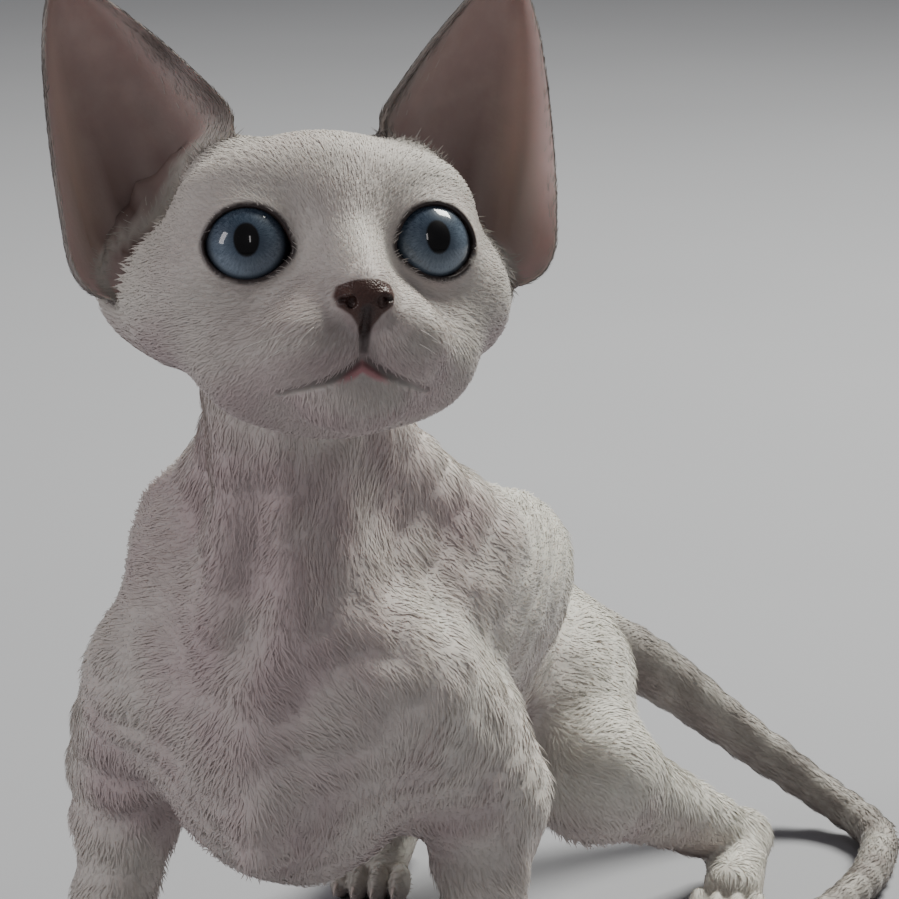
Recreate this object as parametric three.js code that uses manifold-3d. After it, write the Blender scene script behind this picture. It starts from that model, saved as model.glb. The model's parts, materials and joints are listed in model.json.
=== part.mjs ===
// A Devon rex kitten about ten weeks old, life size, as a still standing figure in millimetres.
// +Z is up, the floor is z = 0 and the kitten faces -Y, so +X is its own left side.
// The whole animal is one smooth field of blended masses and limbs. Each named part is that field
// meshed on its own grid and parted from its neighbours by thin flat cuts.
import * as THREE from "three";
import { mergeVertices } from "three/addons/utils/BufferGeometryUtils.js";
import Module from "manifold-3d";

const wasm = await Module();
wasm.setup();
const { Manifold, Mesh } = wasm;

// Driving dimensions, in millimetres and degrees.
const GAP = 0.3; // left between parts that touch
const POCKET_GAP = 0.6; // round the root of each ear
const HEAD_HALF_BREADTH = 32.5; // across the cheeks
const HEAD_AT = [4.6, -19.8, 151]; // middle of the skull
const HEAD_YAW = 30; // turned to the kitten's left
const HEAD_PITCH = 19; // looking up
const HEAD_ROLL = 1.7;
const WITHERS_TOP = 113;
const CHEST_BOTTOM = 40;
const CHEST_X = -5; // the forequarters stand a little to the kitten's right of its hips
const CHEST_HALF_BREADTH = 30;
const FORE_STANCE = 34; // from the middle of the chest to each forepaw
const EYEBALL_RADIUS = 8.3;
const EYE_AT = [14.5, -12.6, 2]; // in the head's own frame
const EYE_OUTWARD = 12; // degrees that each eye looks away from the nose
const LID_THICKNESS = 1.5;
const LID_OPENING = [7, 6.3]; // half width and half height
const EAR_THICKNESS = 1.5;
const MOUTH_HALF_WIDTH = 11.7;
const MOUTH_GROOVE_RADIUS = 0.75;
const FIELD_FAR = 1e3;

// Vectors and turns
const AXES = [0, 1, 2];
const vec = (p) => new THREE.Vector3(...p);
const radians = THREE.MathUtils.degToRad;
const mirrored = (p, side) => [side * p[0], p[1], p[2]];
const turnOf = (pitch = 0, roll = 0, yaw = 0) =>
  new THREE.Matrix4().makeRotationFromEuler(
    new THREE.Euler(radians(pitch), radians(roll), radians(yaw), "ZYX"),
  );

// A mass is an ellipsoid with half sizes r, turned by a matrix. Softness is how far it blends into the rest.
function mass(centre, r, softness, turn = null) {
  const back = turn ? turn.clone().invert() : null;
  const q = new THREE.Vector3();
  return {
    softness,
    distance(x, y, z) {
      q.set(x - centre[0], y - centre[1], z - centre[2]);
      if (back) q.applyMatrix4(back);
      const a = Math.hypot(q.x / r[0], q.y / r[1], q.z / r[2]);
      const b = Math.hypot(q.x / r[0] ** 2, q.y / r[1] ** 2, q.z / r[2] ** 2);
      return b < 1e-9 ? -Math.min(...r) : (a * (a - 1)) / b;
    },
  };
}

// A limb is a round cone from one joint to the next.
function limb(from, to, r1, r2, softness) {
  const a = vec(from);
  const along = vec(to).sub(a);
  const l2 = along.lengthSq();
  const rr = r1 - r2;
  const a2 = l2 - rr * rr;
  const q = new THREE.Vector3();
  return {
    softness,
    distance(x, y, z) {
      q.set(x - a.x, y - a.y, z - a.z);
      const h = q.dot(along);
      const g = h - l2;
      const x2 = q.multiplyScalar(l2).addScaledVector(along, -h).lengthSq();
      const h2 = h * h * l2;
      const g2 = g * g * l2;
      const k = Math.sign(rr) * rr * rr * x2;
      if (Math.sign(g) * a2 * g2 > k) return Math.sqrt(x2 + g2) / l2 - r2;
      if (Math.sign(h) * a2 * h2 < k) return Math.sqrt(x2 + h2) / l2 - r1;
      return (Math.sqrt((x2 * a2) / l2) + h * rr) / l2 - r1;
    },
  };
}

const merge = (a, b, softness) => {
  const h = Math.max(softness - Math.abs(a - b), 0);
  return Math.min(a, b) - (h * h) / (4 * softness);
};
const fieldOf = (forms) => (x, y, z) => {
  let d = FIELD_FAR;
  for (const form of forms) d = merge(d, form.distance(x, y, z), form.softness);
  return d;
};
const SIDES = { left: 1, right: -1 };
const inPairs = (make) => Object.values(SIDES).flatMap((side) => make(side));

// Torso, from the breast to the root of the tail
const CHEST_HALF_DEPTH = (WITHERS_TOP - CHEST_BOTTOM) / 2;
const torsoForms = [
  mass([CHEST_X, 24, CHEST_BOTTOM + CHEST_HALF_DEPTH], [CHEST_HALF_BREADTH, 40, CHEST_HALF_DEPTH], 6),
  mass([CHEST_X, -6, 73], [26, 24, 33], 10),
  mass([-2, 74, 64], [21, 42, 24], 12),
  mass([0, 102, 57.5], [15, 34, 17.5], 12),
  mass([-1, 125, 52.5], [14, 24, 16], 10),
  mass([CHEST_X + 20.5, 46, 82.5], [15.5, 44, 20], 12, turnOf(-9, 12)),
  mass([CHEST_X - 21, 18, 88], [13.5, 30, 21.5], 12, turnOf(-12, -12)),
  limb([0, 134, 53], [7, 157, 45.5], 11, 7.6, 8),
];

const neckForms = [
  limb([-5, 14, 92], [-4.5, -8, 138], 21.5, 14, 11),
  limb([-3, -8, 84], [-5, -14, 128], 15.5, 11, 9),
  limb([-13, 2, 122], [-26, 10, 100], 7.5, 9, 9),
  limb([4, 4, 120], [16, 26, 98], 8, 10, 9),
];

// Forelegs. The upper arm lies back from the point of the shoulder to the elbow.
const FORE_MIDDLE = CHEST_X - 1.5;
const FOREPAW_Y = -15;
function foreleg(side) {
  const at = (x, y, z) => [FORE_MIDDLE + side * x, y, z];
  const shoulder = at(22.5, -6, 76);
  const elbow = at(FORE_STANCE - 1, 9, 54);
  const wrist = at(FORE_STANCE, -5, 18);
  const knuckles = at(FORE_STANCE + 0.5, FOREPAW_Y, 6.6);
  return {
    joints: [shoulder, elbow, wrist, knuckles],
    forms: [
      limb(shoulder, elbow, 14.5, 11, 10),
      mass(at(30, 8, 61), [10.5, 14, 17], 8),
      limb(elbow, wrist, 10.5, 8, 6),
      limb(wrist, knuckles, 8, 7.4, 4),
      ...toes(knuckles),
    ],
  };
}

// Hind legs, half crouched, each with its own stance
const HIND_STANCES = {
  left: { hip: [7, 116, 54], knee: [26, 92, 35], hock: [45, 142, 10], knuckles: [48, 119, 5.9] },
  right: { hip: [-9, 116, 54], knee: [-21, 92, 35], hock: [-27, 142, 10], knuckles: [-25, 119, 5.9] },
};
function hindleg({ hip, knee, hock, knuckles }) {
  const side = Math.sign(hip[0]);
  const thigh = AXES.map((c) => (hip[c] + knee[c]) / 2);
  return {
    joints: [hip, knee, hock, knuckles],
    forms: [
      limb(hip, knee, 14.5, 12.5, 10),
      mass([thigh[0] + side * 2, thigh[1] + 9, thigh[2]], [11, 21, 18], 8),
      limb(knee, hock, 12, 6.4, 8),
      limb(hock, knuckles, 6.4, 6.6, 3),
      ...toes(knuckles),
    ],
  };
}

// Four toes in a fan, in front of the knuckles
const TOE_SPACING = 4;
const TOE_REACH = 7.5;
function toes([x, y, z]) {
  return [-1.5, -0.5, 0.5, 1.5].map((step) => {
    const reach = TOE_REACH - 1.3 * Math.abs(step);
    return mass([x + step * TOE_SPACING, y - reach, z - 2.4], [3, 5.6, 4.7], 1.6);
  });
}

const forelegs = { left: foreleg(1), right: foreleg(-1) };
const hindlegs = {
  left: hindleg(HIND_STANCES.left),
  right: hindleg(HIND_STANCES.right),
};

// Head, in its own frame: x to the kitten's left, -y forward, z up, from the middle of the skull
const CHEEK_R = 13;
const CHEEK_X = HEAD_HALF_BREADTH - CHEEK_R;
const headForms = [
  mass([0, 6, 3.5], [27, 26, 20], 4),
  mass([0, -6, 8.5], [20, 15, 14], 6),
  ...inPairs((side) => [
    mass([side * CHEEK_X, -2, -4.5], [CHEEK_R, 15, 12], 9, turnOf(0, side * 20, side * -18)),
    mass([side * 15, -8.5, 10], [9, 7.5, 7.5], 7),
    mass([side * 8, -26, -15.4], [7.6, 7.8, 6.7], 3),
    mass([side * 15, -11, -16], [8, 9, 8], 8),
    mass([side * 27, 9, 0], [9.5, 9, 10], 7),
    mass([side * 15, 3, 16.5], [8, 9, 7.5], 6),
  ]),
  mass([0, -9, -16.5], [18, 18, 12.5], 9),
  mass([0, -18.5, -10], [11, 11, 9], 6),
  limb([0, -16.5, 5], [0, -29.5, -7], 6.2, 4.6, 5),
  mass([0, -31, -9.5], [4.8, 4, 4.4], 3),
  mass([0, -22, -24.6], [9, 7.2, 6], 4),
];
const eyeCentre = (side) => mirrored(EYE_AT, side);
const lids = inPairs((side) => [mass(eyeCentre(side), Array(3).fill(EYEBALL_RADIUS + LID_THICKNESS), 3)]);
const headField = fieldOf([...headForms, ...lids]);

const head = new THREE.Group();
head.position.set(...HEAD_AT);
head.rotation.set(radians(-HEAD_PITCH), radians(HEAD_ROLL), radians(HEAD_YAW), "ZXY");
head.updateMatrixWorld(true);
const worldToHead = head.matrixWorld.clone().invert();

// The whole kitten, in the floor's frame
const bodyForms = [
  ...torsoForms,
  ...neckForms,
  ...forelegs.left.forms,
  ...forelegs.right.forms,
  ...hindlegs.left.forms,
  ...hindlegs.right.forms,
];
const trunk = fieldOf(bodyForms);
const HEAD_TO_NECK_SOFTNESS = 7;
const probe = new THREE.Vector3();
function kitten(x, y, z) {
  probe.set(x, y, z).applyMatrix4(worldToHead);
  return merge(trunk(x, y, z), headField(probe.x, probe.y, probe.z), HEAD_TO_NECK_SOFTNESS);
}
const inHeadFrame = (x, y, z) => {
  probe.set(x, y, z).applyMatrix4(head.matrixWorld);
  return kitten(probe.x, probe.y, probe.z);
};

// Grid lines from low to high, with a step that may change along the way
function lines(low, high, stepAt) {
  const out = [low];
  while (out.at(-1) < high) out.push(out.at(-1) + (typeof stepAt === "number" ? stepAt : stepAt(out.at(-1))));
  return out;
}

// A grid cell's twelve edges as [corner, corner], its six faces as rings of corners. Corner bits are x, y, z.
const shifted = (bit, axis) => bit << (axis % 3);
const cellEdges = AXES.flatMap((axis) =>
  [0, 1].flatMap((u) =>
    [0, 1].map((v) => {
      const corner = shifted(u, axis + 1) | shifted(v, axis + 2);
      return [corner, corner | shifted(1, axis)];
    }),
  ),
);
const square = [[0, 0], [1, 0], [1, 1], [0, 1]];
const cellFaces = AXES.flatMap((axis) =>
  [0, 1].map((s) => square.map(([u, v]) => shifted(s, axis) | shifted(u, axis + 1) | shifted(v, axis + 2))),
);
const edgeFrom = (a, b) => cellEdges.findIndex(([p, q]) => (p === a && q === b) || (p === b && q === a));

// For a cell whose inside corners are the bits of a mask: which sheet of the surface crosses each edge, or -1
function sheetsOf(mask) {
  const inside = (corner) => (mask >> corner) & 1;
  let sheet = cellEdges.map(([a, b], edge) => (inside(a) === inside(b) ? -1 : edge));
  for (const ring of cellFaces)
    for (let n = 0; n < 4; n++) {
      const before = ring[(n + 3) % 4];
      if (!inside(ring[n]) || inside(before)) continue;
      let last = n;
      while (inside(ring[(last + 1) % 4])) last += 1;
      const from = sheet[edgeFrom(ring[last % 4], ring[(last + 1) % 4])];
      const to = sheet[edgeFrom(before, ring[n])];
      sheet = sheet.map((label) => (label === from ? to : label));
    }
  return sheet;
}
const sheetTable = Array.from({ length: 256 }, (_, mask) => sheetsOf(mask));

// The outermost grid points count as outside, so that every surface closes.
const RIM_OUTSIDE = 0.5;

// One closed surface where the field is zero: in each cell a vertex for each sheet that crosses it, across
// each crossed grid edge a quad, and each vertex slid onto the field along its slope.
function surface(field, axes) {
  const [nx, ny, nz] = axes.map((values) => values.length);
  const index = (i, j, k) => (i * ny + j) * nz + k;
  const value = new Float32Array(nx * ny * nz);
  for (let i = 0; i < nx; i++)
    for (let j = 0; j < ny; j++)
      for (let k = 0; k < nz; k++) {
        const rim = !i || !j || !k || i === nx - 1 || j === ny - 1 || k === nz - 1;
        const d = field(axes[0][i], axes[1][j], axes[2][k]);
        value[index(i, j, k)] = rim ? Math.max(d, RIM_OUTSIDE) : d;
      }
  const corner = (cell, c) => AXES.map((axis) => cell[axis] + ((c >> axis) & 1));
  const crossing = (cell, edge) => {
    const [a, b] = cellEdges[edge].map((c) => corner(cell, c));
    const da = value[index(...a)];
    const t = da / (da - value[index(...b)]);
    return AXES.map((axis) => THREE.MathUtils.lerp(axes[axis][a[axis]], axes[axis][b[axis]], t));
  };
  const points = [];
  const vertexAt = new Map();
  const triangles = [];
  for (let i = 0; i < nx - 1; i++)
    for (let j = 0; j < ny - 1; j++)
      for (let k = 0; k < nz - 1; k++) {
        const cell = [i, j, k];
        let mask = 0;
        for (let c = 0; c < 8; c++) if (value[index(...corner(cell, c))] < 0) mask |= 1 << c;
        const sheets = sheetTable[mask];
        for (const label of new Set(sheets)) {
          if (label < 0) continue;
          const edges = cellEdges.map((_, e) => e).filter((e) => sheets[e] === label);
          const sum = new THREE.Vector3();
          for (const edge of edges) {
            sum.add(vec(crossing(cell, edge)));
            vertexAt.set(index(i, j, k) * 12 + edge, points.length);
          }
          points.push(slide(field, sum.divideScalar(edges.length).toArray()));
        }
      }
  for (let i = 0; i < nx - 1; i++)
    for (let j = 0; j < ny - 1; j++)
      for (let k = 0; k < nz - 1; k++)
        for (const axis of AXES) {
          const next = [i, j, k];
          next[axis] += 1;
          const inside = value[index(i, j, k)] < 0;
          if (inside === value[index(...next)] < 0) continue;
          const round = square.map(([u, v]) => {
            const cell = [i, j, k];
            cell[(axis + 1) % 3] -= u;
            cell[(axis + 2) % 3] -= v;
            return vertexAt.get(index(...cell) * 12 + axis * 4 + u * 2 + v);
          });
          if (!inside) round.reverse();
          triangles.push(...quad(points, round));
        }
  return new Manifold(
    new Mesh({
      numProp: 3,
      vertProperties: new Float32Array(points.flat()),
      triVerts: new Uint32Array(triangles),
    }),
  );
}

// A quad's two triangles, split along its shorter diagonal
function quad(points, [a, b, c, d]) {
  const apart = (p, q) => Math.hypot(...points[p].map((v, i) => v - points[q][i]));
  return apart(a, c) <= apart(b, d) ? [a, b, c, a, c, d] : [a, b, d, b, c, d];
}

const SLOPE_STEP = 0.05;
function slope(field, p) {
  return AXES.map((c) => {
    const up = [...p];
    const down = [...p];
    up[c] += SLOPE_STEP;
    down[c] -= SLOPE_STEP;
    return (field(...up) - field(...down)) / (2 * SLOPE_STEP);
  });
}
const SLIDE_TURNS = 3;
const LEAST_SLOPE = 1e-3;
function slide(field, start, most = 1.2) {
  let p = start;
  for (let turn = 0; turn < SLIDE_TURNS; turn++) {
    const g = slope(field, p);
    const g2 = Math.max(g[0] ** 2 + g[1] ** 2 + g[2] ** 2, LEAST_SLOPE);
    const d = field(...p);
    p = p.map((v, i) => v - THREE.MathUtils.clamp((d * g[i]) / g2, -most, most));
  }
  return p.every((v, i) => Math.abs(v - start[i]) < 2 * most) ? p : start;
}

// Solids from three.js geometry, flat cuts and the largest piece
function solidOf(geometry, matrix = new THREE.Matrix4()) {
  const bare = new THREE.BufferGeometry();
  const source = geometry.index ? geometry.toNonIndexed() : geometry;
  bare.setAttribute("position", source.getAttribute("position").clone());
  bare.applyMatrix4(matrix);
  const merged = mergeVertices(bare, 1e-4);
  return new Manifold(
    new Mesh({
      numProp: 3,
      vertProperties: new Float32Array(merged.attributes.position.array),
      triVerts: new Uint32Array(merged.index.array),
    }),
  );
}
const largest = (solid) => {
  const pieces = solid.decompose();
  return pieces.reduce((a, b) => (b.volume() > a.volume() ? b : a));
};
// A cut keeps the side that its normal points to. The side may be moved along the normal.
const cut = (point, normal) => {
  const n = vec(normal).normalize();
  return { normal: n, offset: n.dot(vec(point)) };
};
const trim = (solid, cuts, shift = GAP / 2) =>
  cuts.reduce((s, c) => s.trimByPlane(c.normal.toArray(), c.offset + shift), solid);
const other = ({ normal, offset }) => ({ normal: normal.clone().negate(), offset: -offset });
const BIG = 900;
const region = (cuts) => trim(solidOf(new THREE.BoxGeometry(BIG, BIG, BIG)), cuts, -GAP / 2);
const floorCut = (solid) => solid.trimByPlane([0, 0, 1], 0);

// Where the kitten is parted
const neckTop = cut([-2, -6, 127], [-0.06, -0.3, 0.95]);
const neckBase = cut([0, 4, 108], [-0.03, -0.5, 0.86]);
const tailCut = cut([5, 151.5, 53], [0.3, 0.82, -0.48]);
const shoulderCuts = (side) => [
  cut([CHEST_X + side * 26, 0, 60], [side * 0.74, 0, -0.67]),
  cut([CHEST_X + side * 8, 0, 0], [side, 0, 0]),
  cut([0, 44, 50], [0, -1, -0.25]),
];
const hipCuts = (side) => [
  cut([side * 16, 110, 50], [side * 0.92, 0, -0.39]),
  cut([0, 66, 50], [0, 1, -0.3]),
];
const cutBelow = (joint, rise, normal) => cut([joint[0], joint[1], joint[2] + rise], normal);

// A part of the kitten inside a box round its joints, on its own grid
function partOf(joints, reach, step, cuts) {
  const grid = AXES.map((c) => {
    const along = joints.map((joint) => joint[c]);
    return lines(Math.min(...along) - reach[c], Math.max(...along) + reach[c], step);
  });
  return largest(floorCut(trim(surface(kitten, grid), cuts)));
}

// Torso and neck, each between two points of its middle line
const TORSO_STEP = 6.4;
const TORSO_LINE = [[CHEST_X, 0, 60], [0, 130, 96]];
const TORSO_REACH = [50, 44, 34];
const NECK_STEP = 5.6;
const NECK_LINE = [[-2, 0, 100], [-2, 0, 122]];
const NECK_REACH = [40, 44, 26];
const parts = {};
parts.torso = partOf(TORSO_LINE, TORSO_REACH, TORSO_STEP, [other(neckBase), other(tailCut)]);
for (const side of Object.values(SIDES))
  for (const cuts of [shoulderCuts(side), hipCuts(side)]) parts.torso = parts.torso.subtract(region(cuts));
parts.torso = largest(parts.torso);
parts.neck = partOf(NECK_LINE, NECK_REACH, NECK_STEP, [neckBase, other(neckTop)]);

// Legs, each cut from its paw a little above the wrist or the hock
const LEG_STEP = 5;
const PAW_STEP = 3.4;
const FORELEG_REACH = [22, 24, 12];
const FOREPAW_REACH = [13, 17, 11];
const HINDLEG_REACH = [22, 32, 22];
const HINDPAW_REACH = [12, 16, 11];
const ANKLE_RISE = 3;
const HEEL_RISE = 1.5;
for (const [name, side] of Object.entries(SIDES)) {
  const [shoulder, elbow, wrist, knuckles] = forelegs[name].joints;
  const ankle = cutBelow(wrist, ANKLE_RISE, [0, -0.3, -0.95]);
  const upper = [...shoulderCuts(side), other(ankle)];
  parts[`foreleg_${name}`] = partOf([shoulder, elbow, wrist], FORELEG_REACH, LEG_STEP, upper);
  parts[`forepaw_${name}`] = partOf([wrist, knuckles], FOREPAW_REACH, PAW_STEP, [ankle]);
}
for (const [name, side] of Object.entries(SIDES)) {
  const [hip, knee, hock, toe] = hindlegs[name].joints;
  const heel = cutBelow(hock, HEEL_RISE, [0, 0.05, -1]);
  const upper = [...hipCuts(side), other(heel)];
  parts[`hindleg_${name}`] = partOf([hip, knee, hock], HINDLEG_REACH, LEG_STEP, upper);
  parts[`hindpaw_${name}`] = partOf([hock, toe], HINDPAW_REACH, PAW_STEP, [heel]);
}

// A closed tube of rings, with its own radius at each ring
function tube(curve, radiusAt, rings, sides) {
  const frames = curve.computeFrenetFrames(rings, false);
  const positions = [];
  const ring = (i) => {
    const t = i / rings;
    const at = curve.getPointAt(t);
    return Array.from({ length: sides }, (_, s) => {
      const a = (2 * Math.PI * s) / sides;
      return at
        .clone()
        .addScaledVector(frames.normals[i], Math.cos(a) * radiusAt(t))
        .addScaledVector(frames.binormals[i], Math.sin(a) * radiusAt(t));
    });
  };
  const face = (...corners) => corners.forEach((p) => positions.push(p.x, p.y, p.z));
  const all = Array.from({ length: rings + 1 }, (_, i) => ring(i));
  const ends = [curve.getPointAt(0), curve.getPointAt(1)];
  for (let s = 0; s < sides; s++) {
    const n = (s + 1) % sides;
    face(ends[0], all[0][n], all[0][s]);
    face(ends[1], all[rings][s], all[rings][n]);
    for (let i = 0; i < rings; i++) {
      face(all[i][s], all[i][n], all[i + 1][n]);
      face(all[i][s], all[i + 1][n], all[i + 1][s]);
    }
  }
  const geometry = new THREE.BufferGeometry();
  geometry.setAttribute("position", new THREE.Float32BufferAttribute(positions, 3));
  return solidOf(geometry);
}

// Tail: out from the rump, down to the floor, and round in front of the left hind paw
const TAIL_ROOT_RADIUS = 7.6;
const TAIL_MIDDLE_RADIUS = 4.4;
const TAIL_TIP_RADIUS = 2.6;
const tailRadius = (t) =>
  THREE.MathUtils.lerp(TAIL_ROOT_RADIUS, TAIL_MIDDLE_RADIUS, THREE.MathUtils.smoothstep(t, 0, 0.45)) -
  (TAIL_MIDDLE_RADIUS - TAIL_TIP_RADIUS) * THREE.MathUtils.smoothstep(t, 0.6, 1);
const tailWay = [
  [3, 145, 52.5],
  [7, 155, 47.5],
  [19, 170, 37],
  [37, 182, 20],
  [54, 184, 8],
  [67, 172, 4.2],
  [71, 152, 4],
  [70, 129, 4],
  [63, 108, 3.8],
  [47, 96.5, 3.4],
  [28, 94, 3],
];
const tailCurve = new THREE.CatmullRomCurve3(tailWay.map(vec), false, "centripetal");
const tailAt = (t) => cut(tailCurve.getPointAt(t).toArray(), tailCurve.getTangentAt(t).toArray());
const TAIL_SPLITS = {
  tail_root: [0, 0.3],
  tail_bend: [0.3, 0.53],
  tail_front: [0.53, 0.78],
  tail_tip: [0.78, 1],
};
const TAIL_SPARE = 0.02; // each length is made a little long and then cut off square
const TAIL_RINGS = 40;
const TAIL_SIDES = 8;
const TAIL_GUIDES = 12;
for (const [name, [from, to]] of Object.entries(TAIL_SPLITS)) {
  const along = (t) =>
    THREE.MathUtils.clamp(THREE.MathUtils.lerp(from - TAIL_SPARE, to + TAIL_SPARE, t), 0, 1);
  const guideAt = (i) => tailCurve.getPointAt(along(i / TAIL_GUIDES));
  const guides = Array.from({ length: TAIL_GUIDES + 1 }, (_, i) => guideAt(i));
  const rings = Math.round(TAIL_RINGS * (to - from)) + 2;
  let piece = tube(new THREE.CatmullRomCurve3(guides), (t) => tailRadius(along(t)), rings, TAIL_SIDES);
  piece = from ? trim(piece, [tailAt(from)]) : trim(piece, [tailCut]);
  if (to < 1) piece = trim(piece, [other(tailAt(to))]);
  parts[name] = largest(floorCut(piece));
}

// Colours from the animal: cream coat, grey points, bare skin inside the ears
const looks = {
  coat: { color: 0xddd5cc, roughness: 0.9 },
  point: { color: 0x8d8580, roughness: 0.9 },
  nose: { color: 0x5b4038, roughness: 0.5 },
  eye: { color: 0x6f95b8, roughness: 0.08 },
};
const root = new THREE.Group();
const stance = new THREE.Group();
root.add(stance);
stance.add(head);
function addPart(name, solid, look, group = stance) {
  const mesh = largest(solid).getMesh();
  const geometry = new THREE.BufferGeometry();
  geometry.setAttribute("position", new THREE.BufferAttribute(mesh.vertProperties, 3));
  geometry.setIndex(new THREE.BufferAttribute(mesh.triVerts, 1));
  const material = new THREE.MeshStandardMaterial({ ...looks[look], metalness: 0 });
  const part = new THREE.Mesh(geometry, material);
  part.name = name;
  group.add(part);
}
for (const [name, solid] of Object.entries(parts)) {
  addPart(name, solid, name.startsWith("tail") ? "point" : "coat");
}

// Head, cut for the eyes, the ears, the nose leather and the mouth
const FACE_STEP = 2.6;
const finer = (from, to, coarse) => (value) => (value > from && value < to ? FACE_STEP : coarse);
const headGrid = [
  lines(-46, 46, finer(-16, 16, 4.4)),
  lines(-44, 42, finer(-40, -14, 4.8)),
  lines(-42, 34, finer(-26, 6, 4.4)),
];
const inHead = ({ normal, offset }) => {
  const plane = new THREE.Plane(normal.clone(), -offset).applyMatrix4(worldToHead);
  return { normal: plane.normal, offset: -plane.constant };
};
let headSolid = trim(surface(inHeadFrame, headGrid), [inHead(neckTop)]);

// Eyes. The lids open in a short oval funnel along the eye's own axis.
const place = (at, yaw = 0, pitch = 0) =>
  new THREE.Matrix4()
    .makeRotationFromEuler(new THREE.Euler(radians(pitch), 0, radians(yaw), "ZXY"))
    .setPosition(...at);
const ball = (radius, sides) => new THREE.SphereGeometry(radius, sides, Math.round(sides * 0.6));
const EYE_SIDES = 20;
const FUNNEL = { front: 1.06, back: 0.95, depth: 8, from: 2.2, sides: 24 };
const eyes = {};
for (const [name, side] of Object.entries(SIDES)) {
  const matrix = place(eyeCentre(side), side * EYE_OUTWARD);
  eyes[name] = solidOf(ball(EYEBALL_RADIUS, EYE_SIDES), matrix);
  headSolid = headSolid.subtract(solidOf(ball(EYEBALL_RADIUS + GAP, EYE_SIDES), matrix));
  const funnel = new THREE.CylinderGeometry(FUNNEL.front, FUNNEL.back, FUNNEL.depth, FUNNEL.sides);
  funnel.translate(0, FUNNEL.depth / 2 + FUNNEL.from, 0);
  funnel.rotateX(Math.PI).scale(LID_OPENING[0], 1, LID_OPENING[1]);
  headSolid = headSolid.subtract(solidOf(funnel, matrix));
}

// A point of the face, straight ahead of (x, z)
function facePoint(x, z, field = headField) {
  let inside = -12;
  let outside = -46;
  for (let n = 0; n < 24; n++) {
    const middle = (inside + outside) / 2;
    if (field(x, middle, z) < 0) inside = middle;
    else outside = middle;
  }
  return new THREE.Vector3(x, inside, z);
}

// Mouth: a groove from corner to corner, and the philtrum up to the nose
const MOUTH_MIDDLE_Z = -18.6;
const MOUTH_FALL = 4.2;
const MOUTH_BEND = 6;
const MOUTH_POINTS = 8;
const PHILTRUM_RADIUS = 0.55;
const mouthZ = (x) => MOUTH_MIDDLE_Z - MOUTH_FALL * Math.tanh(Math.abs(x) / MOUTH_BEND);
const mouthCurve = new THREE.CatmullRomCurve3(
  Array.from({ length: 2 * MOUTH_POINTS + 1 }, (_, i) => {
    const x = MOUTH_HALF_WIDTH * (i / MOUTH_POINTS - 1);
    return facePoint(x, mouthZ(x));
  }),
);
const mouthRadius = (t) => MOUTH_GROOVE_RADIUS * (0.55 + 0.45 * Math.sin(Math.PI * t));
headSolid = headSolid.subtract(tube(mouthCurve, mouthRadius, 22, 6));
const philtrumHeights = [-11, -14, -16.5, MOUTH_MIDDLE_Z];
const philtrumCurve = new THREE.CatmullRomCurve3(philtrumHeights.map((z) => facePoint(0, z)));
headSolid = headSolid.subtract(tube(philtrumCurve, () => PHILTRUM_RADIUS, 6, 6));

// Nose leather: a shield let into the tip of the nose, with its wings and two comma-shaped nostrils
const noseField = fieldOf([
  ...headForms,
  ...inPairs((side) => [mass([side * 3.2, -32.4, -9.6], [2.3, 2.5, 2.1], 1.5)]),
]);
const SHIELD_DEPTH = 14;
const SHIELD_BACK = -28.5;
const NOSTRIL_SIZE = [0.9, 2.2, 1.1];
const NOSTRIL_SLIT = [1.1, 1.3, 0.45];
function noseShield(grow) {
  const outline = new THREE.Shape();
  outline.moveTo(0, -6.6 + grow);
  outline.quadraticCurveTo(4.4 + grow, -6.7 + grow, 4.9 + grow, -8.6);
  outline.quadraticCurveTo(4.8 + grow, -10.4 - grow, 1.2 + grow, -12.8 - grow);
  outline.lineTo(-1.2 - grow, -12.8 - grow);
  outline.quadraticCurveTo(-4.8 - grow, -10.4 - grow, -4.9 - grow, -8.6);
  outline.quadraticCurveTo(-4.4 - grow, -6.7 + grow, 0, -6.6 + grow);
  const depth = SHIELD_DEPTH + 2 * grow;
  const prism = new THREE.ExtrudeGeometry(outline, { depth, bevelEnabled: false, curveSegments: 6 });
  return solidOf(prism.rotateX(Math.PI / 2).translate(0, SHIELD_BACK + grow, 0));
}
headSolid = headSolid.subtract(noseShield(GAP));
const noseGrid = [lines(-8, 8, 1.25), lines(-40, -26, 1.25), lines(-16, -4, 1.25)];
let nose = surface(noseField, noseGrid).intersect(noseShield(0));
for (const side of Object.values(SIDES)) {
  const nostril = facePoint(side * 2.6, -10, noseField);
  nose = nose.subtract(solidOf(ball(1, 12).scale(...NOSTRIL_SIZE), place(nostril.toArray())));
  const slit = facePoint(side * 4.1, -9.7, noseField);
  nose = nose.subtract(solidOf(ball(1, 10).scale(...NOSTRIL_SLIT), place(slit.toArray())));
}

// Ears: a deep cup between an inner and an outer edge, rooted in a pocket in the head
const earInnerEdge = [
  [17, 5, 6],
  [13.5, 0, 17],
  [12.6, -4, 25],
  [19, -4, 34],
  [27.5, -3, 43],
  [34, -2, 48.8],
  [38.6, -1.6, 52],
];
const earOuterEdge = [
  [25, 6, 0],
  [32, 3.5, -3],
  [37, 1, -1.5],
  [41.3, -0.5, 10],
  [42.3, -1, 26],
  [41.4, -1.4, 42],
  [38.8, -1.6, 52],
];
const EAR_DEPTH = [6, 13, 16.5, 15.5, 11.5, 6, 2];
const EAR_LEAN = { left: -3, right: 4 }; // degrees outward, each ear with its own
const EAR_TIP_FROM = 0.95; // the wall faces one way from here to the tip
const EAR_FOOT = 0.04; // where the shell starts, clear of the bottom of its pocket
const EAR_STEADY = 0.16; // the wall's way back follows the ear's line over this much of its length
const POCKET_LIP = 1; // how far the pocket opens in front of the ear's rim
const EAR_ROWS = 14;
const EAR_CLOSER_UP = 1.25; // rows lie a little closer together towards the tip
const EAR_COLUMNS = 10;
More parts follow.
